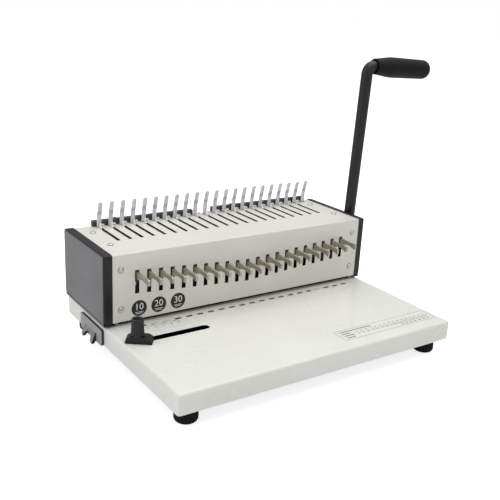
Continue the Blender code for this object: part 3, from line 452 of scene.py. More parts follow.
class Finish(Graph):
    """A material with a Principled shader and the object's own coordinates."""

    def __init__(self, name, **sockets):
        self.material = bpy.data.materials.new(name)
        self.material.use_nodes = True
        super().__init__(self.material.node_tree)
        self.shader = self.tree.nodes["Principled BSDF"]
        self.place = self.add("ShaderNodeTexCoord").outputs["Object"]
        for key, value in sockets.items():
            self.shader.inputs[key.replace("_", " ")].default_value = value

    def group(self, tree, **sockets):
        return self.add("ShaderNodeGroup", {"node_tree": tree}, Vector=self.place, **sockets).outputs

    def feed(self, socket, value):
        self.send(value, self.shader, socket)

    def drift(self, main, other, size):
        return self.group(TONE_DRIFT, Main=main, Other=other, Size=size)["Color"]

    def handled(self, roughness, change):
        """Feeds the roughness with its handling marks and gives their mask."""
        marks = self.group(HANDLING_MARKS, Roughness=roughness, Change=change)
        self.feed("Roughness", marks["Roughness"])
        return marks["Mask"]

    def rubbed(self, colour, bare, share, width, break_up):
        """The colour with its edges worn towards a bare one."""
        wear = self.group(EDGE_WEAR, Width=width, Break_up=break_up)["Mask"]
        return self.blend(self.math("MULTIPLY", wear, share), colour, bare)

    def bump(self, height, strength, distance):
        node = self.add("ShaderNodeBump", None, Strength=strength, Distance=distance, Height=height)
        self.feed("Normal", node.outputs[0])


def rgb(red, green, blue):
    """A colour from 0-255 display values, as the linear colour a shader takes."""
    def linear(value):
        value /= 255
        return value / 12.92 if value <= 0.04045 else ((value + 0.055) / 1.055) ** 2.4
    return (linear(red), linear(green), linear(blue), 1.0)


def shaded(colour, share):
    return (*(part * share for part in colour[:3]), 1.0)


def within(finish, boxes):
    """1 inside any of the boxes, given as low and high corners in the machine's datum."""
    parts = finish.axes(finish.place)
    found = 0.0
    for low, high in boxes:
        inside = 1.0
        for axis in range(3):
            place = parts[axis]
            inside = finish.math("MULTIPLY", inside, finish.math("GREATER_THAN", place, low[axis]))
            inside = finish.math("MULTIPLY", inside, finish.math("LESS_THAN", place, high[axis]))
        found = finish.math("MAXIMUM", found, inside)
    return found


def powder_coat(name, main, other, roughness, painted_shade_boxes):
    """Semi-gloss stove-enamelled sheet with a light orange peel; its inner side and gaps inside the given
    boxes are painted near-black as shade.
    """
    finish = Finish(name, Specular_IOR_Level=0.5)
    tone = finish.drift(main, other, 0.11)
    marks = finish.handled(roughness, 0.07)
    dusty = finish.blend(finish.math("MULTIPLY", marks, 0.05), tone, rgb(176, 170, 158))
    rubbed = finish.rubbed(dusty, rgb(150, 150, 146), 0.10, 0.0005, 0.8)
    # Painted shade: near-black inside the given boxes, on inner sides, slot walls and gaps.
    finish.feed("Base Color", finish.blend(within(finish, painted_shade_boxes), rubbed, rgb(12, 13, 14)))
    grain = finish.group(FINE_GRAIN, Size=0.0011, Sharpness=0.25)
    finish.bump(grain["Height"], 0.16, 0.00006)
    return finish.material


def moulded_plastic(name, face, rim, roughness, grain_size=0.0005):
    """Spark-textured moulding; X-facing walls take the lighter first colour as a painted sheen from the
    side light, the other faces the dark rim colour.
    """
    finish = Finish(name, Specular_IOR_Level=0.45)
    turned = finish.add("ShaderNodeTexCoord").outputs["Normal"]
    # Painted sheen: walls facing along X get the light colour, as if lit from the side.
    painted_sheen_side = finish.span(finish.math("ABSOLUTE", finish.axes(turned)["X"]), 0.80, 0.97)
    grain = finish.group(FINE_GRAIN, Size=grain_size, Sharpness=0.6)
    textured = finish.drift(face, shaded(face, 0.88), 0.06)
    flecked = finish.blend(finish.math("MULTIPLY", grain["Fleck"], 0.25), textured, rgb(150, 151, 152))
    colour = finish.blend(painted_sheen_side, rim, flecked)
    finish.feed("Base Color", finish.rubbed(colour, rgb(120, 122, 124), 0.12, 0.0007, 0.7))
    finish.handled(roughness, 0.10)
    finish.bump(grain["Height"], 0.35, 0.00005)
    return finish.material


def satin_black(name, main, other, roughness, peel):
    """Satin black paint with a soft peel and slightly rubbed edges."""
    finish = Finish(name, Specular_IOR_Level=0.5)
    tone = finish.drift(main, other, 0.04)
    finish.feed("Base Color", finish.rubbed(tone, rgb(110, 112, 114), 0.25, 0.0005, 0.9))
    finish.handled(roughness, 0.12)
    grain = finish.group(FINE_GRAIN, Size=peel, Sharpness=0.2)
    finish.bump(grain["Height"], 0.25, 0.00008)
    return finish.material


def soft_rubber(name, main, other, roughness):
    """Matt moulded rubber with a dry bloom and a fine tooth."""
    finish = Finish(name, Specular_IOR_Level=0.2, Sheen_Weight=0.03, Sheen_Roughness=0.6)
    tone = finish.drift(main, other, 0.02)
    grain = finish.group(FINE_GRAIN, Size=0.0007, Sharpness=0.4)
    bloom = finish.blend(finish.math("MULTIPLY", grain["Fleck"], 0.18), tone, rgb(84, 88, 88))
    finish.feed("Base Color", bloom)
    finish.handled(roughness, 0.15)
    finish.bump(grain["Height"], 0.4, 0.00008)
    return finish.material


def plated_metal(name, main, other, roughness, stretch, lines_depth=0.12, painted_reflection_band=None, metallic=1.0):
    """Plated or ground sheet metal with fine lines and a faintly uneven plating."""
    finish = Finish(name, Metallic=metallic)
    tone = finish.drift(main, other, 0.012)
    lines = finish.group(BRUSH_LINES, Stretch=stretch, Size=0.00045)["Lines"]
    lines_and_reflection_tone = finish.blend(finish.math("MULTIPLY", lines, 0.22), tone, shaded(main, 0.6))
    # Painted reflection: a given band of heights is darkened, as of a dark strip mirrored in the bend.
    if painted_reflection_band:
        height = finish.axes(finish.place)["Z"]
        low, high, fade = painted_reflection_band
        rise = finish.span(height, low - fade, low + fade)
        fall = finish.span(height, high - fade, high + fade, 0.38, 0.0)
        lines_and_reflection_tone = finish.blend(finish.math("MULTIPLY", rise, fall), lines_and_reflection_tone, shaded(main, 0.22))
    finish.feed("Base Color", lines_and_reflection_tone)
    marks = finish.group(HANDLING_MARKS, Roughness=roughness, Change=0.14)
    grained = finish.math("ADD", marks["Roughness"], finish.math("MULTIPLY", lines, 0.06))
    finish.feed("Roughness", grained)
    finish.bump(lines, lines_depth, 0.00003)
    return finish.material


def natural_nylon(name):
    finish = Finish(name, Subsurface_Weight=0.15, Subsurface_Scale=0.002)
    finish.feed("Base Color", finish.drift(rgb(228, 224, 208), rgb(216, 210, 190), 0.01))
    finish.handled(0.45, 0.1)
    return finish.material


def printed_ink(name, colour, thin):
    """Screen-printed ink; thin is how much of the coat under it still shows."""
    finish = Finish(name, Specular_IOR_Level=0.4)
    grain = finish.group(FINE_GRAIN, Size=0.0004, Sharpness=0.5)
    worn = finish.math("MULTIPLY", grain["Fleck"], thin)
    finish.feed("Base Color", finish.blend(worn, colour, rgb(200, 200, 194)))
    finish.handled(0.38, 0.1)
    finish.bump(grain["Height"], 0.1, 0.00002)
    return finish.material


SHEET = 0.0018
SKIN = 0.00025
FAR = 1.0
# Painted shade on the base: near-black inside the tray, and a band on its top behind the front panel as the
# shadow under the panel.
BASE_PAINTED_SHADE = (
    ((BASE_LOW.x + 0.0032, BASE_LOW.y + 0.0032, -FAR), (BASE_HIGH.x - 0.0032, BASE_HIGH.y - 0.0032, -SKIN)),
    ((-0.1715, 0.0065, -0.001), (0.1715, 0.100, 0.001)),
)
# Painted shade on the housing: near-black on the sheet's inner side and down the slot walls.
COVER_PAINTED_SHADE = (
    ((-FAR, COVER_LOW.y + SHEET, -FAR), (FAR, COVER_HIGH.y - SHEET, COVER_HIGH.z - SKIN)),
    ((-FAR, COVER_LOW.y + SKIN, -FAR), (FAR, COVER_HIGH.y - SHEET, COVER_HIGH.z - SHEET)),
)
IVORY = powder_coat("ivory_stove_enamel", rgb(234, 234, 229), rgb(229, 229, 223), 0.24, BASE_PAINTED_SHADE)
PANEL = powder_coat("ivory_housing_enamel", rgb(229, 228, 220), rgb(224, 222, 213), 0.28, COVER_PAINTED_SHADE)
# The first colour of these mouldings is a painted sheen for their X-facing walls; the second is their own
# dark colour.
CAP_PLASTIC = moulded_plastic("charcoal_moulding", rgb(110, 111, 113), rgb(14, 18, 20), 0.40)
DRAWER_PLASTIC = moulded_plastic("drawer_moulding", rgb(160, 161, 163), rgb(46, 49, 51), 0.42)
GUIDE_PLASTIC = moulded_plastic("black_moulding", rgb(17, 20, 23), rgb(11, 14, 16), 0.40)
BLACK_PAINT = satin_black("satin_black_paint", rgb(15, 17, 20), rgb(11, 13, 16), 0.36, 0.0014)
BAR_PAINT = satin_black("dark_grey_paint", rgb(66, 69, 73), rgb(56, 58, 62), 0.46, 0.0010)
KNOB_PLASTIC = satin_black("knob_moulding", rgb(19, 22, 26), rgb(14, 17, 20), 0.42, 0.0006)
RUBBER = soft_rubber("black_grip_rubber", rgb(9, 13, 14), rgb(6, 9, 10), 0.60)
FOOT_RUBBER = soft_rubber("black_foot_rubber", rgb(12, 14, 15), rgb(8, 10, 10), 0.66)
NICKEL = plated_metal("satin_nickel", rgb(190, 185, 172), rgb(174, 168, 154), 0.36, (1.0, 0.06, 1.0))
UPWARD_LINES = (1.0, 1.0, 0.05)
FINGER_PAINTED_REFLECTION = (0.0970, 0.1015, 0.0020)      # painted dark reflection across the bend: from, to and fade
FINGER_CHROME = plated_metal("finger_chrome", rgb(238, 239, 240), rgb(226, 228, 230), 0.30,
                             UPWARD_LINES, 0.05, FINGER_PAINTED_REFLECTION, 0.55)
HOOK_CHROME = plated_metal("hook_chrome", rgb(246, 247, 248), rgb(236, 238, 240), 0.30,
                           UPWARD_LINES, 0.05, None, 0.35)
SCREW_STEEL = plated_metal("bright_zinc", rgb(226, 226, 222), rgb(206, 206, 202), 0.24,
                           (1.0, 1.0, 1.0), 0.05)
STEEL = plated_metal("ground_steel", rgb(150, 152, 156), rgb(128, 130, 134), 0.36, (0.04, 1.0, 1.0), 0.18)
ZINC_SHEET = plated_metal("zinc_sheet", rgb(168, 171, 174), rgb(146, 149, 153), 0.42,
                          (0.15, 1.0, 1.0), 0.10)
NYLON = natural_nylon("natural_nylon")
BLACK_INK = printed_ink("black_print", rgb(22, 22, 24), 0.35)
GREY_INK = printed_ink("grey_print", rgb(140, 142, 145), 0.4)
DARK_INK = printed_ink("dark_grey_print", rgb(78, 80, 84), 0.4)
WHITE_INK = printed_ink("white_print", rgb(236, 236, 234), 0.25)


# --- Base ---
FOOT_TOP_SHARE = 0.86
PRINT_LIFT = 0.00003
PRINT_THICK = 0.00003


def feet():
    """Rubber feet with a rolled lower edge and a recessed fixing screw."""
    for corner in ("front_left", "front_right", "rear_left", "rear_right"):
        node = "foot_" + corner
        low, high = machine_box(node)
        radius = (high.x - low.x) / 2
        height = high.z - low.z
        neck = radius * FOOT_TOP_SHARE
        profile = [(0, height), (neck - 0.001, height), (neck, height - 0.001)]
        profile += [(radius - 0.0006, height * 0.56), (radius, height * 0.52), (radius, height * 0.30)]
        profile += arc((radius - 0.0045, 0.0045), 0.0045, 0, -90, 8)
        profile += [(0.0055, 0), (0.005, 0.0008), (0.005, 0.006), (0, 0.006)]
        middle = Vector(((low.x + high.x) / 2, (low.y + high.y) / 2, low.z))
        mesh = turned_mesh(node, profile, 48)
        place = Matrix.Translation(middle)
        foot = piece(node + "_rubber", mesh, FOOT_RUBBER, "root", (node,), place)
        smooth(foot, 30)
        profile = [(0, 0.0050), (0.0028, 0.0048), (0.0036, 0.0058), (0.0036, 0.0064), (0, 0.0064)]
        head = turned_mesh("head", profile, 32)
        smooth(piece(node + "_screw", head, SCREW_STEEL, "root", (), place), 30)


def digits_mesh(text, size, depth=0.00004):
    """A number as a thin flat mesh, centred on the origin, reading along +X."""
    curve = bpy.data.curves.new("digits", "FONT")
    curve.body = text
    curve.size = size
    curve.align_x = "CENTER"
    curve.align_y = "CENTER"
    curve.extrude = depth / 2
    curve.resolution_u = 3
    return settled(helper("digits", curve))


def joined(name, meshes):
    shape = bmesh.new()
    for mesh in meshes:
        shape.from_mesh(mesh)
    return mesh_from(shape, name)


def flat_strokes(strokes, lift=PRINT_LIFT, thick=PRINT_THICK):
    """Thin plates on the base top from (x, y, width, depth) strokes."""
    height = (lift, lift + thick)
    return [((x - w / 2, x + w / 2), (y - d / 2, y + d / 2), height) for x, y, w, d in strokes]


DASH_OFFSET = 0.0028
DASH_Y = -0.0096
DASH_SIZE = (0.0076, 0.0033)
BARE_DASHES = (1, 2, 17)


def hole_marks():
    """One printed dash beside each punch slot, with small ticks where a size mark stands."""
    strokes = []
    for index in range(SLOT_COUNT):
        if index not in BARE_DASHES:
            strokes.append((slot_x(index) + DASH_OFFSET, DASH_Y, *DASH_SIZE))
    piece("hole_marks", boxes_mesh("hole_marks", flat_strokes(strokes)), BLACK_INK)
    ticks = []
    for index in BARE_DASHES:
        start = slot_x(index) - 0.001
        for step in range(6):
            ticks.append((start + step * 0.0014, DASH_Y, 0.0007, 0.0016 + 0.0010 * (step % 2)))
    end = slot_x(SLOT_COUNT - 1) + 0.009
    for step in range(9):
        ticks.append((end + step * 0.0014, DASH_Y, 0.0007, 0.0018))
    piece("margin_ticks", boxes_mesh("margin_ticks", flat_strokes(ticks)), GREY_INK)


def margin_scale():
    """Small scale in front of the first slots, which the edge guide is set by."""
    strokes = []
    numbers = []
    for step in range(22):
        x = -0.1385 + step * 0.0019
        long = step % 5 == 0
        strokes.append((x, -0.0150 - (0.0004 if long else 0), 0.0004, 0.0032 if long else 0.0018))
        if long:
            mesh = digits_mesh(str(step // 5 + 1), 0.0042)
            mesh.transform(Matrix.Translation((x, -0.0192, PRINT_LIFT + 0.00002)))
            numbers.append(mesh)
    for row in range(3):
        x = -0.1330 + row * 0.0135
        strokes.append((x + 0.003, -0.0118 - row * 0.0003, 0.0052, 0.0009))
    meshes = [boxes_mesh("strokes", flat_strokes(strokes))] + numbers
    piece("margin_scale", joined("margin_scale", meshes), DARK_INK)


CHART_X = (0.0345, 0.1720)
CHART_Y = (-0.1440, -0.1214)


def size_chart():
    """Printed table of comb sizes near the front edge: a fine frame round rows of numbers."""
    low_x, high_x = CHART_X
    low_y, high_y = CHART_Y
    outline = rounded_rectangle(CHART_X, CHART_Y, 0.0015, 4)
    line = 0.0005
    inner = rounded_rectangle((low_x + line, high_x - line), (low_y + line, high_y - line), 0.0011, 4)
    frame_line = plate_mesh("chart_frame", outline, PRINT_LIFT, PRINT_LIFT + PRINT_THICK, "Z", (inner,))
    piece("chart_frame", frame_line, GREY_INK)
    meshes = []
    strokes = []
    columns = 16
    start = low_x + 0.026
    step_x = (high_x - 0.008 - start) / (columns - 1)
    for column in range(columns):
        x = start + column * step_x
        rows = ((str(6 + 2 * column), -0.0095), (str(20 + 30 * column), -0.0142))
        for text, drop in rows:
            mesh = digits_mesh(text, 0.0036)
            mesh.transform(Matrix.Translation((x, high_y + drop, PRINT_LIFT + 0.00002)))
            meshes.append(mesh)
        if column > 8:
            strokes.append((x, high_y - 0.0185, 0.0040, 0.0012))
    for row, width in ((0, 0.046), (1, 0.012), (2, 0.014), (3, 0.012)):
        strokes.append((low_x + 0.005 + width / 2, high_y - 0.0045 - row * 0.0046, width, 0.0013))
    meshes.append(boxes_mesh("strokes", flat_strokes(strokes)))
    piece("chart_rows", joined("chart_rows", meshes), DARK_INK)


def base():
    refined("base_tray", IVORY, 0.00025)
    refined("bottom_plate", ZINC_SHEET, 0.0002)
    feet()
    hole_marks()
    margin_scale()
    size_chart()


# --- Housing ---
BADGE_X = (-0.1404, -0.1166, -0.0925)
BADGE_Z = 0.0171
BADGE_RADIUS = 0.0092
BADGE_NUMBERS = ("10", "20", "30")


def badges():
    """Round printed badges with plain numbers on the front panel."""
    face = COVER_LOW.y
    for index, (x, text) in enumerate(zip(BADGE_X, BADGE_NUMBERS)):
        disc = plate_mesh("badge", arc((0, 0), BADGE_RADIUS, 0, 352.5, 47), 0.00001, 0.00005)
        place = Matrix.Translation((x, face, BADGE_Z)) @ UPRIGHT
        disc.transform(place)
        piece(f"badge_disc_{index + 1}", disc, BLACK_INK)
        number = digits_mesh(text, 0.0110)
        number.transform(Matrix.Translation((0, 0.0014, 0.00007)))
        marks = [number]
        lines = [((-w / 2, w / 2), (y - 0.0003, y + 0.0003), (0.00005, 0.00009)) for y, w in
                 ((-0.0046, 0.0100), (-0.0062, 0.0076))]
        marks.append(boxes_mesh("lines", lines))
        white = joined("badge_mark", marks)
        white.transform(place)
        piece(f"badge_mark_{index + 1}", white, WHITE_INK)


def cross_recess(depth, top):
    """Cutter for a cross-head screw, with tapering arms."""
    shape = bmesh.new()
    for turn in (0, 90):
        verts = box_shape(shape, ((-0.0012, 0.0012), (-0.00022, 0.00022), (top - depth, top + 0.001)))
        for vert in verts:
            if vert.co.z < top:
                vert.co.x *= 0.35
                vert.co.y *= 0.6
        bmesh.ops.rotate(shape, verts=verts, matrix=Matrix.Rotation(math.radians(turn), 3, "Z"))
    return mesh_from(shape, "cross")


def housing_screws():
    names = [name for name in NODES if name.startswith(("panel_screw", "deck_screw"))]
    for index, name in enumerate(sorted(names)):
        low, high = machine_box(name)
        on_deck = name.startswith("deck")
        radius = (high.x - low.x) / 2
        head = (high.z - COVER_HIGH.z) if on_deck else (COVER_LOW.y - low.y)
        length = (high - low)[2 if on_deck else 1] - head
        profile = [(0, head)] + [
            (radius * math.sin(math.radians(a)), head * (0.25 + 0.75 * math.cos(math.radians(a))))
            for a in (15, 30, 45, 60, 75, 88)
        ]
        profile += [(radius, 0.0003), (0.0015, 0.0003), (0.0015, -length), (0, -length)]
        middle = (low + high) / 2
        if on_deck:
            place = Matrix.Translation((middle.x, middle.y, COVER_HIGH.z))
        else:
            place = Matrix.Translation((middle.x, COVER_LOW.y, middle.z)) @ UPRIGHT
        spin = Matrix.Rotation(math.radians(17 + 47 * index), 4, "Z")
        screw = piece(name + "_head", turned_mesh(name, profile, 32), SCREW_STEEL, "root",
                      (name,), place @ spin)
        cut(screw, cross_recess(0.0007, head))
        smooth(screw, 30)
        # A flat grey ring round each head's edge: painted shade where the head meets the sheet.
        ring = turned_mesh("ring", [(radius - 0.0004, 0.00022), (radius + 0.00045, 0.00020),
                                    (radius + 0.00055, 0.00002), (radius - 0.0004, 0.00001)], 40)
        smooth(piece(name + "_painted_shade_ring", ring, GREY_INK, "root", (), place))


def end_caps():
    for side in ("left", "right"):
        node = side + "_cap"
        refined(node, CAP_PLASTIC, 0.0004)
        low, high = machine_box(node)
        lip = boxes_mesh("lip", [(
            (low.x + 0.0007, high.x - 0.0007), (low.y + 0.0008, high.y - 0.0008), (0.0018, low.z + 0.0004),
        )])
        rounded(piece(side + "_cap_lip", lip, CAP_PLASTIC), 0.0006)
        lug = boxes_mesh("lug", [(
            (low.x + 0.002, high.x - 0.002), (0.0375, 0.0435), (0.0003, low.z + 0.0005),
        )])
        rounded(piece(side + "_cap_lug", lug, CAP_PLASTIC), 0.0005)


def housing():
    refined("housing_cover", PANEL, 0.00018)
    end_caps()
    badges()
    housing_screws()


# --- Works inside the housing ---
def inner_works():
    for side in ("left", "right"):
        refined(side + "_side_plate", ZINC_SHEET, 0.0002)
        refined(side + "_drive_cam", STEEL, 0.0003, "handle")
        refined(side + "_shaft_bush", NYLON, 0.0003)
    refined("rear_beam", ZINC_SHEET, 0.0002)
    refined("die_plate", STEEL, 0.00012)
    refined("stripper_plate", STEEL, 0.00012)
    refined("press_bar", STEEL, 0.00015, "press")
    refined("drive_shaft", STEEL, 0.0004, "handle")
    coil_spring()


def coil_spring():
    """Closely wound torsion spring on the shaft, with its straight leg."""
    low, high = machine_box("return_spring")
    shaft_low, shaft_high = machine_box("drive_shaft")
    middle = (shaft_low + shaft_high) / 2
    wire = 0.0008
    radius = (high.y - low.y) / 2 - wire
    turns = 5
    pitch = (high.x - low.x - 2 * wire) / turns
    points = [(low.x + wire, middle.y + radius, low.z + 0.0002)]
    for step in range(turns * 24 + 1):
        angle = 2 * math.pi * step / 24
        points.append((
            low.x + wire + pitch * step / 24,
            middle.y + radius * math.cos(angle),
            middle.z + radius * math.sin(angle),
        ))
    spring = piece("return_spring_wire", wire_mesh("spring", points, wire, 3), STEEL,
                   stands_for=("return_spring",))
    smooth(spring)


# --- Comb side: fingers, bars and hooks ---
FINGER_WIDTH = 0.0054
FINGER_THICK = 0.0015
FINGER_BEND = 0.45


FINGER_SPREAD = 0.05
FINGER_LEAN_SHARE = 0.45
FINGER_SECTION = ((-1.0, 0.35), (-0.94, 0.75), (-0.80, 1.0), (0.0, 1.0),
                  (0.80, 1.0), (0.94, 0.75), (1.0, 0.35))        # across, and thickness there


def finger_shape(shape, x, foot, deck, top, root_y, tip_y):
    """One finger bent up from the strip: it widens a little, bends forward and ends round."""
    tip = FINGER_WIDTH / 2
    heights = [foot + (top - tip - foot) * row / 18 for row in range(19)]
    heights += [top - tip + tip * math.sin(math.radians(10 * row)) for row in range(1, 10)]
    rings = []
    for z in heights:
        rise = max(0.0, (z - deck) / (top - deck))
        bend = max(0.0, rise - FINGER_BEND) / (1 - FINGER_BEND)
        y = root_y - (root_y - tip_y) * (FINGER_LEAN_SHARE * rise + (1 - FINGER_LEAN_SHARE) * bend)
        half = FINGER_WIDTH / 2 * (1.0 + FINGER_SPREAD * min(rise * 4, 1))
        over = max(0.0, z - (top - tip)) / tip
        half = max(half * math.sqrt(max(1 - over ** 2, 0.0)), 0.0003)
        dish = 0.00022 * min(rise * 3, 1)
        front = []
        back = []
        for u, thick in FINGER_SECTION:
            deep = FINGER_THICK / 2 * thick
            crown = dish * (1 - u * u)
            front.append(shape.verts.new((x + half * u, y - deep - crown, z)))
            back.append(shape.verts.new((x + half * u, y + deep - crown, z)))
        rings.append(front + back[::-1])
    count = len(rings[0])
    for lower, upper in zip(rings, rings[1:]):
        for step in range(count):
            after = (step + 1) % count
            shape.faces.new((lower[step], lower[after], upper[after], upper[step]))
    shape.faces.new(rings[0][::-1])
    shape.faces.new(rings[-1])


def comb_fingers():
    low, high = machine_box("fixed_comb")
    deck = COVER_HIGH.z
    cut_at = deck - 0.006
    shape, rim = trimmed("fixed_comb", cut_at)
    bmesh.ops.contextual_create(shape, geom=rim)
    foot = cut_at - 0.0008
    root_y = high.y - FINGER_THICK / 2
    tip_y = low.y + FINGER_THICK / 2 + 0.0003
    for index in range(SLOT_COUNT + 1):
        finger_shape(shape, slot_x(index), foot, deck, high.z, root_y, tip_y)
    bmesh.ops.recalc_face_normals(shape, faces=shape.faces)
    mesh = mesh_from(shape, "comb_fingers")
    smooth(piece("comb_fingers", mesh, FINGER_CHROME, "root", ("fixed_comb",)), 50)


HOOK_X = (-0.0019, -0.0001)
HOOK_SIDE = ((0.0928, 0.0750), (0.0928, 0.0818), (0.0934, 0.0830), (0.0956, 0.0868), (0.0974, 0.0868),
             (0.0977, 0.0859), (0.0963, 0.0826), (0.0961, 0.0750))
TONGUE = ((-0.0002, 0.0034), (0.0944, 0.0966), (0.0842, 0.0868))


def hook_rake():
    """Sliding plate with a leaning hook and a side tongue in every deck slot."""
    shape, rims = trimmed("hook_rake", COVER_HIGH.z - 0.0048)
    bmesh.ops.holes_fill(shape, edges=rims)
    for index in range(SLOT_COUNT):
        x = slot_x(index)
        shape.from_mesh(plate_mesh("hook", HOOK_SIDE, x + HOOK_X[0], x + HOOK_X[1], "X"))
        low, high = TONGUE[0]
        tongue = plate_mesh("tongue", [(TONGUE[2][0], x + high - 0.0012), (TONGUE[2][0], x + high),
                                       (TONGUE[2][1] - 0.0004, x + high), (TONGUE[2][1], x + high - 0.0006),
                                       (TONGUE[2][1], x + low), (TONGUE[2][1] - 0.0013, x + low),
                                       (TONGUE[2][1] - 0.0013, x + high - 0.0012)], *TONGUE[1], "Y")
        shape.from_mesh(tongue)
    rake = piece("hook_rake_plate", mesh_from(shape, "hook_rake"), HOOK_CHROME,
                 "rake", ("hook_rake",))
    rounded(rake, 0.0003, 2, 32)


def comb_side():
    comb_fingers()
    for node in ("left_comb_bar", "right_comb_bar"):
        refined(node, BAR_PAINT, 0.0006)
    hook_rake()


# --- Punch selector tabs ---
TAB_TIP = 0.0014


def tab_outline(low_y, high_y, height):
    """Side view of a tab: tongue, neck over an arch, and a blunt hanging finger end."""
    tongue = 0.008
    rear = 0.0042
    outline = [(high_y, 0), (low_y + 0.0016, -0.0006)]
    outline += arc((low_y + 0.0013, -0.0021), 0.0013, 100, 180, 3)
    tip = height - TAB_TIP
    outline += [(low_y, -tip + 0.0018)]
    outline += arc((low_y + 0.0014, -tip + 0.0016), 0.0014, 180, 290, 4)
    outline += eased([
        (low_y + 0.0030, -tip + 0.0014), (low_y + 0.0055, -0.0062), (low_y + 0.0095, -0.0050),
        (low_y + 0.0145, -0.0050), (low_y + 0.0200, -0.0062), (low_y + 0.0250, -height + 0.0008),
    ], 14)
    outline += [(-0.0006, -height + 0.0002), (rear, -height), (rear, -tongue), (high_y, -tongue)]
    return outline


def punch_tabs():
    low, high = machine_box("punch_tab_01")
    height = high.z - low.z
    thick = high.x - low.x
    outline = tab_outline(low.y, high.y, height)
    for index in range(SLOT_COUNT):
        node = f"punch_tab_{index + 1:02d}"
        node_low, node_high = machine_box(node)
        mesh = plate_mesh(node, outline, -thick / 2, thick / 2, "X")
        place = Matrix.Translation(((node_low.x + node_high.x) / 2, 0, node_high.z))
        tab = piece(node + "_plate", mesh, NICKEL, f"tab_{index + 1:02d}", (node,), place)
        rounded(tab, 0.00045, 2, 40)


# --- Handle ---
ARM_X = 0.1879
ARM_RADIUS = 0.0072
ARM_LEAN = math.radians(2.4)
ARM_LENGTH = 0.2301
ARM_BEND = 0.0102
GRIP_TILT = math.radians(2.6)
GRIP_FROM = 0.1985
GRIP_TO = 0.2945
GRIP_SHAPE = ((0.0, 0.0098), (0.05, 0.0101), (0.14, 0.0112), (0.27, 0.0127), (0.40, 0.0128),
              (0.62, 0.0126), (0.88, 0.0123))


def pivot():
    low, high = machine_box("drive_shaft")
    return (low + high) / 2


def up_arm(x, reach):
    """A point on the arm's leaning line, reach metres up from the shaft."""
    shaft = pivot()
    return Vector((x, shaft.y - reach * math.sin(ARM_LEAN), shaft.z + reach * math.cos(ARM_LEAN)))


def grip_way():
    up = up_arm(0, 1) - up_arm(0, 0)
    return Vector((math.cos(GRIP_TILT), 0, 0)) - up * math.sin(GRIP_TILT)


def handle_tube():
    corner = up_arm(ARM_X, ARM_LENGTH)
    up = (corner - up_arm(ARM_X, 0)).normalized()
    along = grip_way()
    center = corner - up * ARM_BEND + along * ARM_BEND
    points = [up_arm(ARM_X, 0), up_arm(ARM_X, ARM_LENGTH - ARM_BEND)]
    steps = 20
    for step in range(1, steps):
        turn = math.radians(90 * step / steps)
        points.append(center + up * ARM_BEND * math.sin(turn) - along * ARM_BEND * math.cos(turn))
    points += [corner + along * ARM_BEND, corner + along * (GRIP_TO - ARM_X - 0.013)]
    arm = piece("handle_tube", wire_mesh("tube", points, ARM_RADIUS, 10), BLACK_PAINT,
                "handle", ("handle_arm",))
    smooth(arm, 40)
    handle_hub()


def handle_hub():
    """Turned hub on the shaft's end with a socket-head fixing screw in a counterbore."""
    shaft = pivot()
    start = machine_box("right_cap")[1].x + 0.0006
    length = 0.0135
    radius = 0.014
    profile = [(0, length - 0.003), (0.0058, length - 0.003), (0.0060, length - 0.0028)]
    profile += [(0.0060, length - 0.0005), (0.0065, length)]
    profile += arc((radius - 0.0015, length - 0.0015), 0.0015, 90, 0, 6)
    profile += [(radius, 0.0008), (radius - 0.0008, 0), (0.0064, 0), (0.0064, 0.006), (0, 0.006)]
    place = Matrix.Translation((start, shaft.y, shaft.z)) @ SIDEWAYS
    hub = turned_mesh("hub", profile, 64)
    smooth(piece("handle_hub", hub, BLACK_PAINT, "handle", (), place), 30)
    head = [(0, length - 0.0022), (0.0020, length - 0.0022), (0.0021, length - 0.0004)]
    head += [(0.0024, length - 0.0001), (0.0042, length - 0.0001), (0.0048, length - 0.0007)]
    head += [(0.0048, length - 0.0031), (0, length - 0.0031)]

    def hexagon(angle, row):
        if row not in (1, 2):
            return 0.0
        local = (angle % (math.pi / 3)) - math.pi / 6
        return 0.0022 * (0.88 / math.cos(local) - 0.92)

    screw = turned_mesh("hub_screw", head, 48, hexagon)
    smooth(piece("hub_screw", screw, SCREW_STEEL, "handle", (), place), 30)


def handle_grip():
    """Soft hand grip with an open inner mouth and a full round end."""
    start = GRIP_FROM - ARM_X
    length = (GRIP_TO - GRIP_FROM) / math.cos(GRIP_TILT)
    dome = 0.0105
    last = GRIP_SHAPE[-1][1]
    bore = ARM_RADIUS + 0.0008
    sides = eased(list(GRIP_SHAPE), 34)
    profile = [(0, start + length)]
    for step in range(1, 13):
        turn = math.radians(90 * step / 13)
        profile.append((last * math.sin(turn) ** 0.92, start + length - dome + dome * math.cos(turn)))
    profile += [(radius, start + length * share) for share, radius in reversed(sides)
                if length * share > 0.0008]
    mouth = sides[0][1]
    profile += arc((mouth - 0.0007, start + 0.0007), 0.0007, 0, -90, 4)
    profile += [(bore + 0.0008, start), (bore, start + 0.0012), (bore, start + 0.030), (0, start + 0.030)]
    turn = grip_way().to_track_quat("Z", "Y").to_matrix().to_4x4()
    mesh = turned_mesh("grip", profile, 64)
    mesh.transform(Matrix.Translation(up_arm(ARM_X, ARM_LENGTH)) @ turn)
    grip = piece("grip_sleeve", mesh, RUBBER, "handle", ("handle_grip",))
    smooth(grip, 40)


def handle():
    handle_tube()
    handle_grip()


# --- Edge guide ---
GUIDE_TURN = math.radians(-35)
BLOCK_OFFSET = 0.0018
BLOCK_HALF = 0.0062
FOOT_HALF = 0.0067
STUD_BORE = 0.0028
FLUTES = 18


def knob_ripple(angle, row):
    """Flutes round the knob's waist, fading at the rim and the foot."""
    depth = {6: 0.00018, 7: 0.00030, 8: 0.00030, 9: 0.00030, 10: 0.00024}.get(row, 0)
    return -depth * (1 + math.cos(FLUTES * angle))


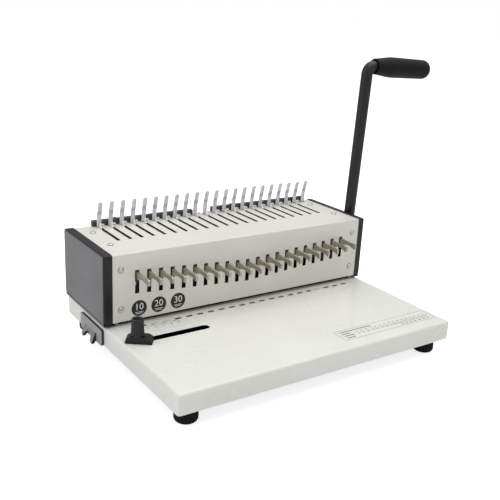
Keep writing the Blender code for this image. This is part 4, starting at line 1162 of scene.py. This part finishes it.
def edge_guide():
    stud_low, stud_high = machine_box("guide_stud")
    center = (stud_low + stud_high) / 2
    knob_low, knob_high = machine_box("guide_knob")
    radius = (knob_high.x - knob_low.x) / 2
    height = knob_high.z - knob_low.z
    profile = [(0, height - 0.0026), (radius * 0.52, height - 0.0024), (radius * 0.60, height - 0.0006)]
    profile += [(radius * 0.66, height), (radius * 0.82, height - 0.0001), (radius * 0.90, height - 0.0010)]
    profile += [(radius * 0.90, height - 0.0028), (radius * 0.89, height * 0.72)]
    profile += [(radius * 0.92, height * 0.5)]
    profile += [(radius * 0.96, height * 0.25), (radius * 0.985, height * 0.12), (radius, height * 0.04)]
    profile += [(radius, 0.0003), (radius - 0.0003, 0), (STUD_BORE, 0)]
    profile += [(STUD_BORE, height * 0.62), (0, height * 0.62)]
    place = Matrix.Translation((center.x, center.y, knob_low.z))
    mesh = turned_mesh("knob", profile, FLUTES * 8, knob_ripple)
    knob = piece("guide_knob_fluted", mesh, KNOB_PLASTIC, "guide_knob",
                 ("guide_knob",), place)
    smooth(knob, 50)
    guide_block(center)
    stud = refined("guide_stud", STEEL, 0.0003, "guide_carriage")
    smooth(stud, 30)


def guide_block(center):
    """Sloped block with a thin foot all round and a flat seat for the knob."""
    block_low, block_high = machine_box("guide_block")
    low = block_low.z
    top = block_high.z
    half = 0.01425
    body = [(-half + 0.0007, low), (half - 0.0007, low), (half - 0.0009, low + 0.0046)]
    body += [(half - 0.0014, low + 0.0050), (0.0092, top), (-0.0092, top)]
    body += [(-half + 0.0014, low + 0.0050), (-half + 0.0009, low + 0.0046)]
    mesh = plate_mesh("block", [(z, x + BLOCK_OFFSET) for x, z in body], -BLOCK_HALF, BLOCK_HALF, "Y")
    place = Matrix.Translation((center.x, center.y, 0)) @ Matrix.Rotation(GUIDE_TURN, 4, "Z")
    block = piece("guide_block_body", mesh, GUIDE_PLASTIC, "guide_block",
                  ("guide_block",), place)
    across = (BLOCK_OFFSET - half, BLOCK_OFFSET + half)
    outline = rounded_rectangle(across, (-FOOT_HALF, FOOT_HALF), 0.0012, 4)
    foot = plate_mesh("foot", outline, low, low + 0.0014)
    cut(block, foot, "UNION")
    bore = [(0, top + 0.001), (STUD_BORE, top + 0.001), (STUD_BORE, low - 0.001), (0, low - 0.001)]
    hole = turned_mesh("hole", bore, 32)
    cut(block, hole)
    rounded(block, 0.0004, 3, 30)


# --- Chip drawer ---
def chip_drawer():
    """Chip tray with a round-cornered front plate and a hooded finger pull."""
    drawer = piece("chip_drawer_tray", clean_copy("chip_drawer"), DRAWER_PLASTIC,
                   "drawer", ("chip_drawer",))
    plate_x = BASE_LOW.x - 0.0028
    plate_y = (0.0062, 0.0656)
    plate_z = (-0.0225, -0.004)
    radius = 0.0026
    around = rounded_rectangle(plate_y, plate_z, radius, 6)
    outside = [(plate_y[0] - 0.002, plate_z[0] - 0.002), (plate_y[1] + 0.002, plate_z[0] - 0.002),
               (plate_y[1] + 0.002, plate_z[1] + 0.002), (plate_y[0] - 0.002, plate_z[1] + 0.002)]
    trim = plate_mesh("trim", outside, plate_x - 0.0012, BASE_LOW.x + 0.0002, "X", (around,))
    cut(drawer, trim)
    rounded(drawer, 0.0006, 3, 30)


# --- Stage ---
CAMERA_PLACE = Vector((-0.46507, -0.66942, 0.33194))
CAMERA_AZIMUTH = -34.92
CAMERA_HEIGHT = 18.2
CAMERA_ROLL = 3.11
LENS = 52.67


def camera():
    data = bpy.data.cameras.new("camera")
    data.lens = LENS
    data.sensor_width = 36
    data.clip_start = 0.01
    data.clip_end = 50
    made = helper("camera", data)
    made.matrix_world = (
        Matrix.Translation(DATUM + CAMERA_PLACE)
        @ Matrix.Rotation(math.radians(CAMERA_AZIMUTH), 4, "Z")
        @ Matrix.Rotation(math.radians(90 - CAMERA_HEIGHT), 4, "X")
        @ Matrix.Rotation(math.radians(CAMERA_ROLL), 4, "Z")
    )
    bpy.context.scene.camera = made


def floor():
    """Plain pale floor that runs on as a backdrop behind the machine."""
    shape = bmesh.new()
    bmesh.ops.create_grid(shape, x_segments=1, y_segments=1, size=20)
    ground = helper("floor", mesh_from(shape, "floor"))
    material = bpy.data.materials.new("pale_floor")
    material.use_nodes = True
    graph = Graph(material.node_tree)
    shader = material.node_tree.nodes["Principled BSDF"]
    shader.inputs["Base Color"].default_value = (0.80, 0.80, 0.80, 1)
    shader.inputs["Roughness"].default_value = 0.9
    shader.inputs["Specular IOR Level"].default_value = 0.1
    shader.inputs["Emission Color"].default_value = (1, 1, 1, 1)
    seen = graph.add("ShaderNodeLightPath").outputs["Is Camera Ray"]
    lift = graph.math("MULTIPLY", seen, 0.75)
    graph.send(lift, shader, "Emission Strength")
    ground.data.materials.append(material)


def softbox(name, place, target, width, depth, power, colour=(1, 1, 1)):
    data = bpy.data.lights.new(name, "AREA")
    data.shape = "RECTANGLE"
    data.size = width
    data.size_y = depth
    data.energy = power
    data.color = colour
    made = helper(name, data)
    made.location = place
    way = Vector(target) - Vector(place)
    made.rotation_mode = "QUATERNION"
    made.rotation_quaternion = way.to_track_quat("-Z", "Y")


def studio():
    middle = (0, 0, 0.1)
    softbox("overhead", (0.25, 0.0, 1.55), middle, 1.7, 1.4, 14)
    softbox("left_side", (-1.5, 0.25, 0.7), middle, 1.2, 1.0, 5.6)
    softbox("front_fill", (0.2, -1.9, 0.9), middle, 1.4, 1.0, 3.2)
    world = bpy.data.worlds.new("studio")
    world.use_nodes = True
    bpy.context.scene.world = world
    graph = Graph(world.node_tree)
    sky = world.node_tree.nodes["Background"]
    way = graph.add("ShaderNodeTexCoord").outputs["Generated"]
    rise = graph.span(graph.axes(way)["Z"], -0.1, 0.7, 0.22, 0.60)
    seen = graph.add("ShaderNodeLightPath").outputs["Is Camera Ray"]
    graph.send(graph.math("MAXIMUM", rise, seen), sky, "Strength")
    sky.inputs["Color"].default_value = (1, 1, 1, 1)
    bpy.context.scene.view_settings.view_transform = "Standard"


camera()
studio()
floor()
base()
housing()
inner_works()
comb_side()
punch_tabs()
handle()
edge_guide()
chip_drawer()
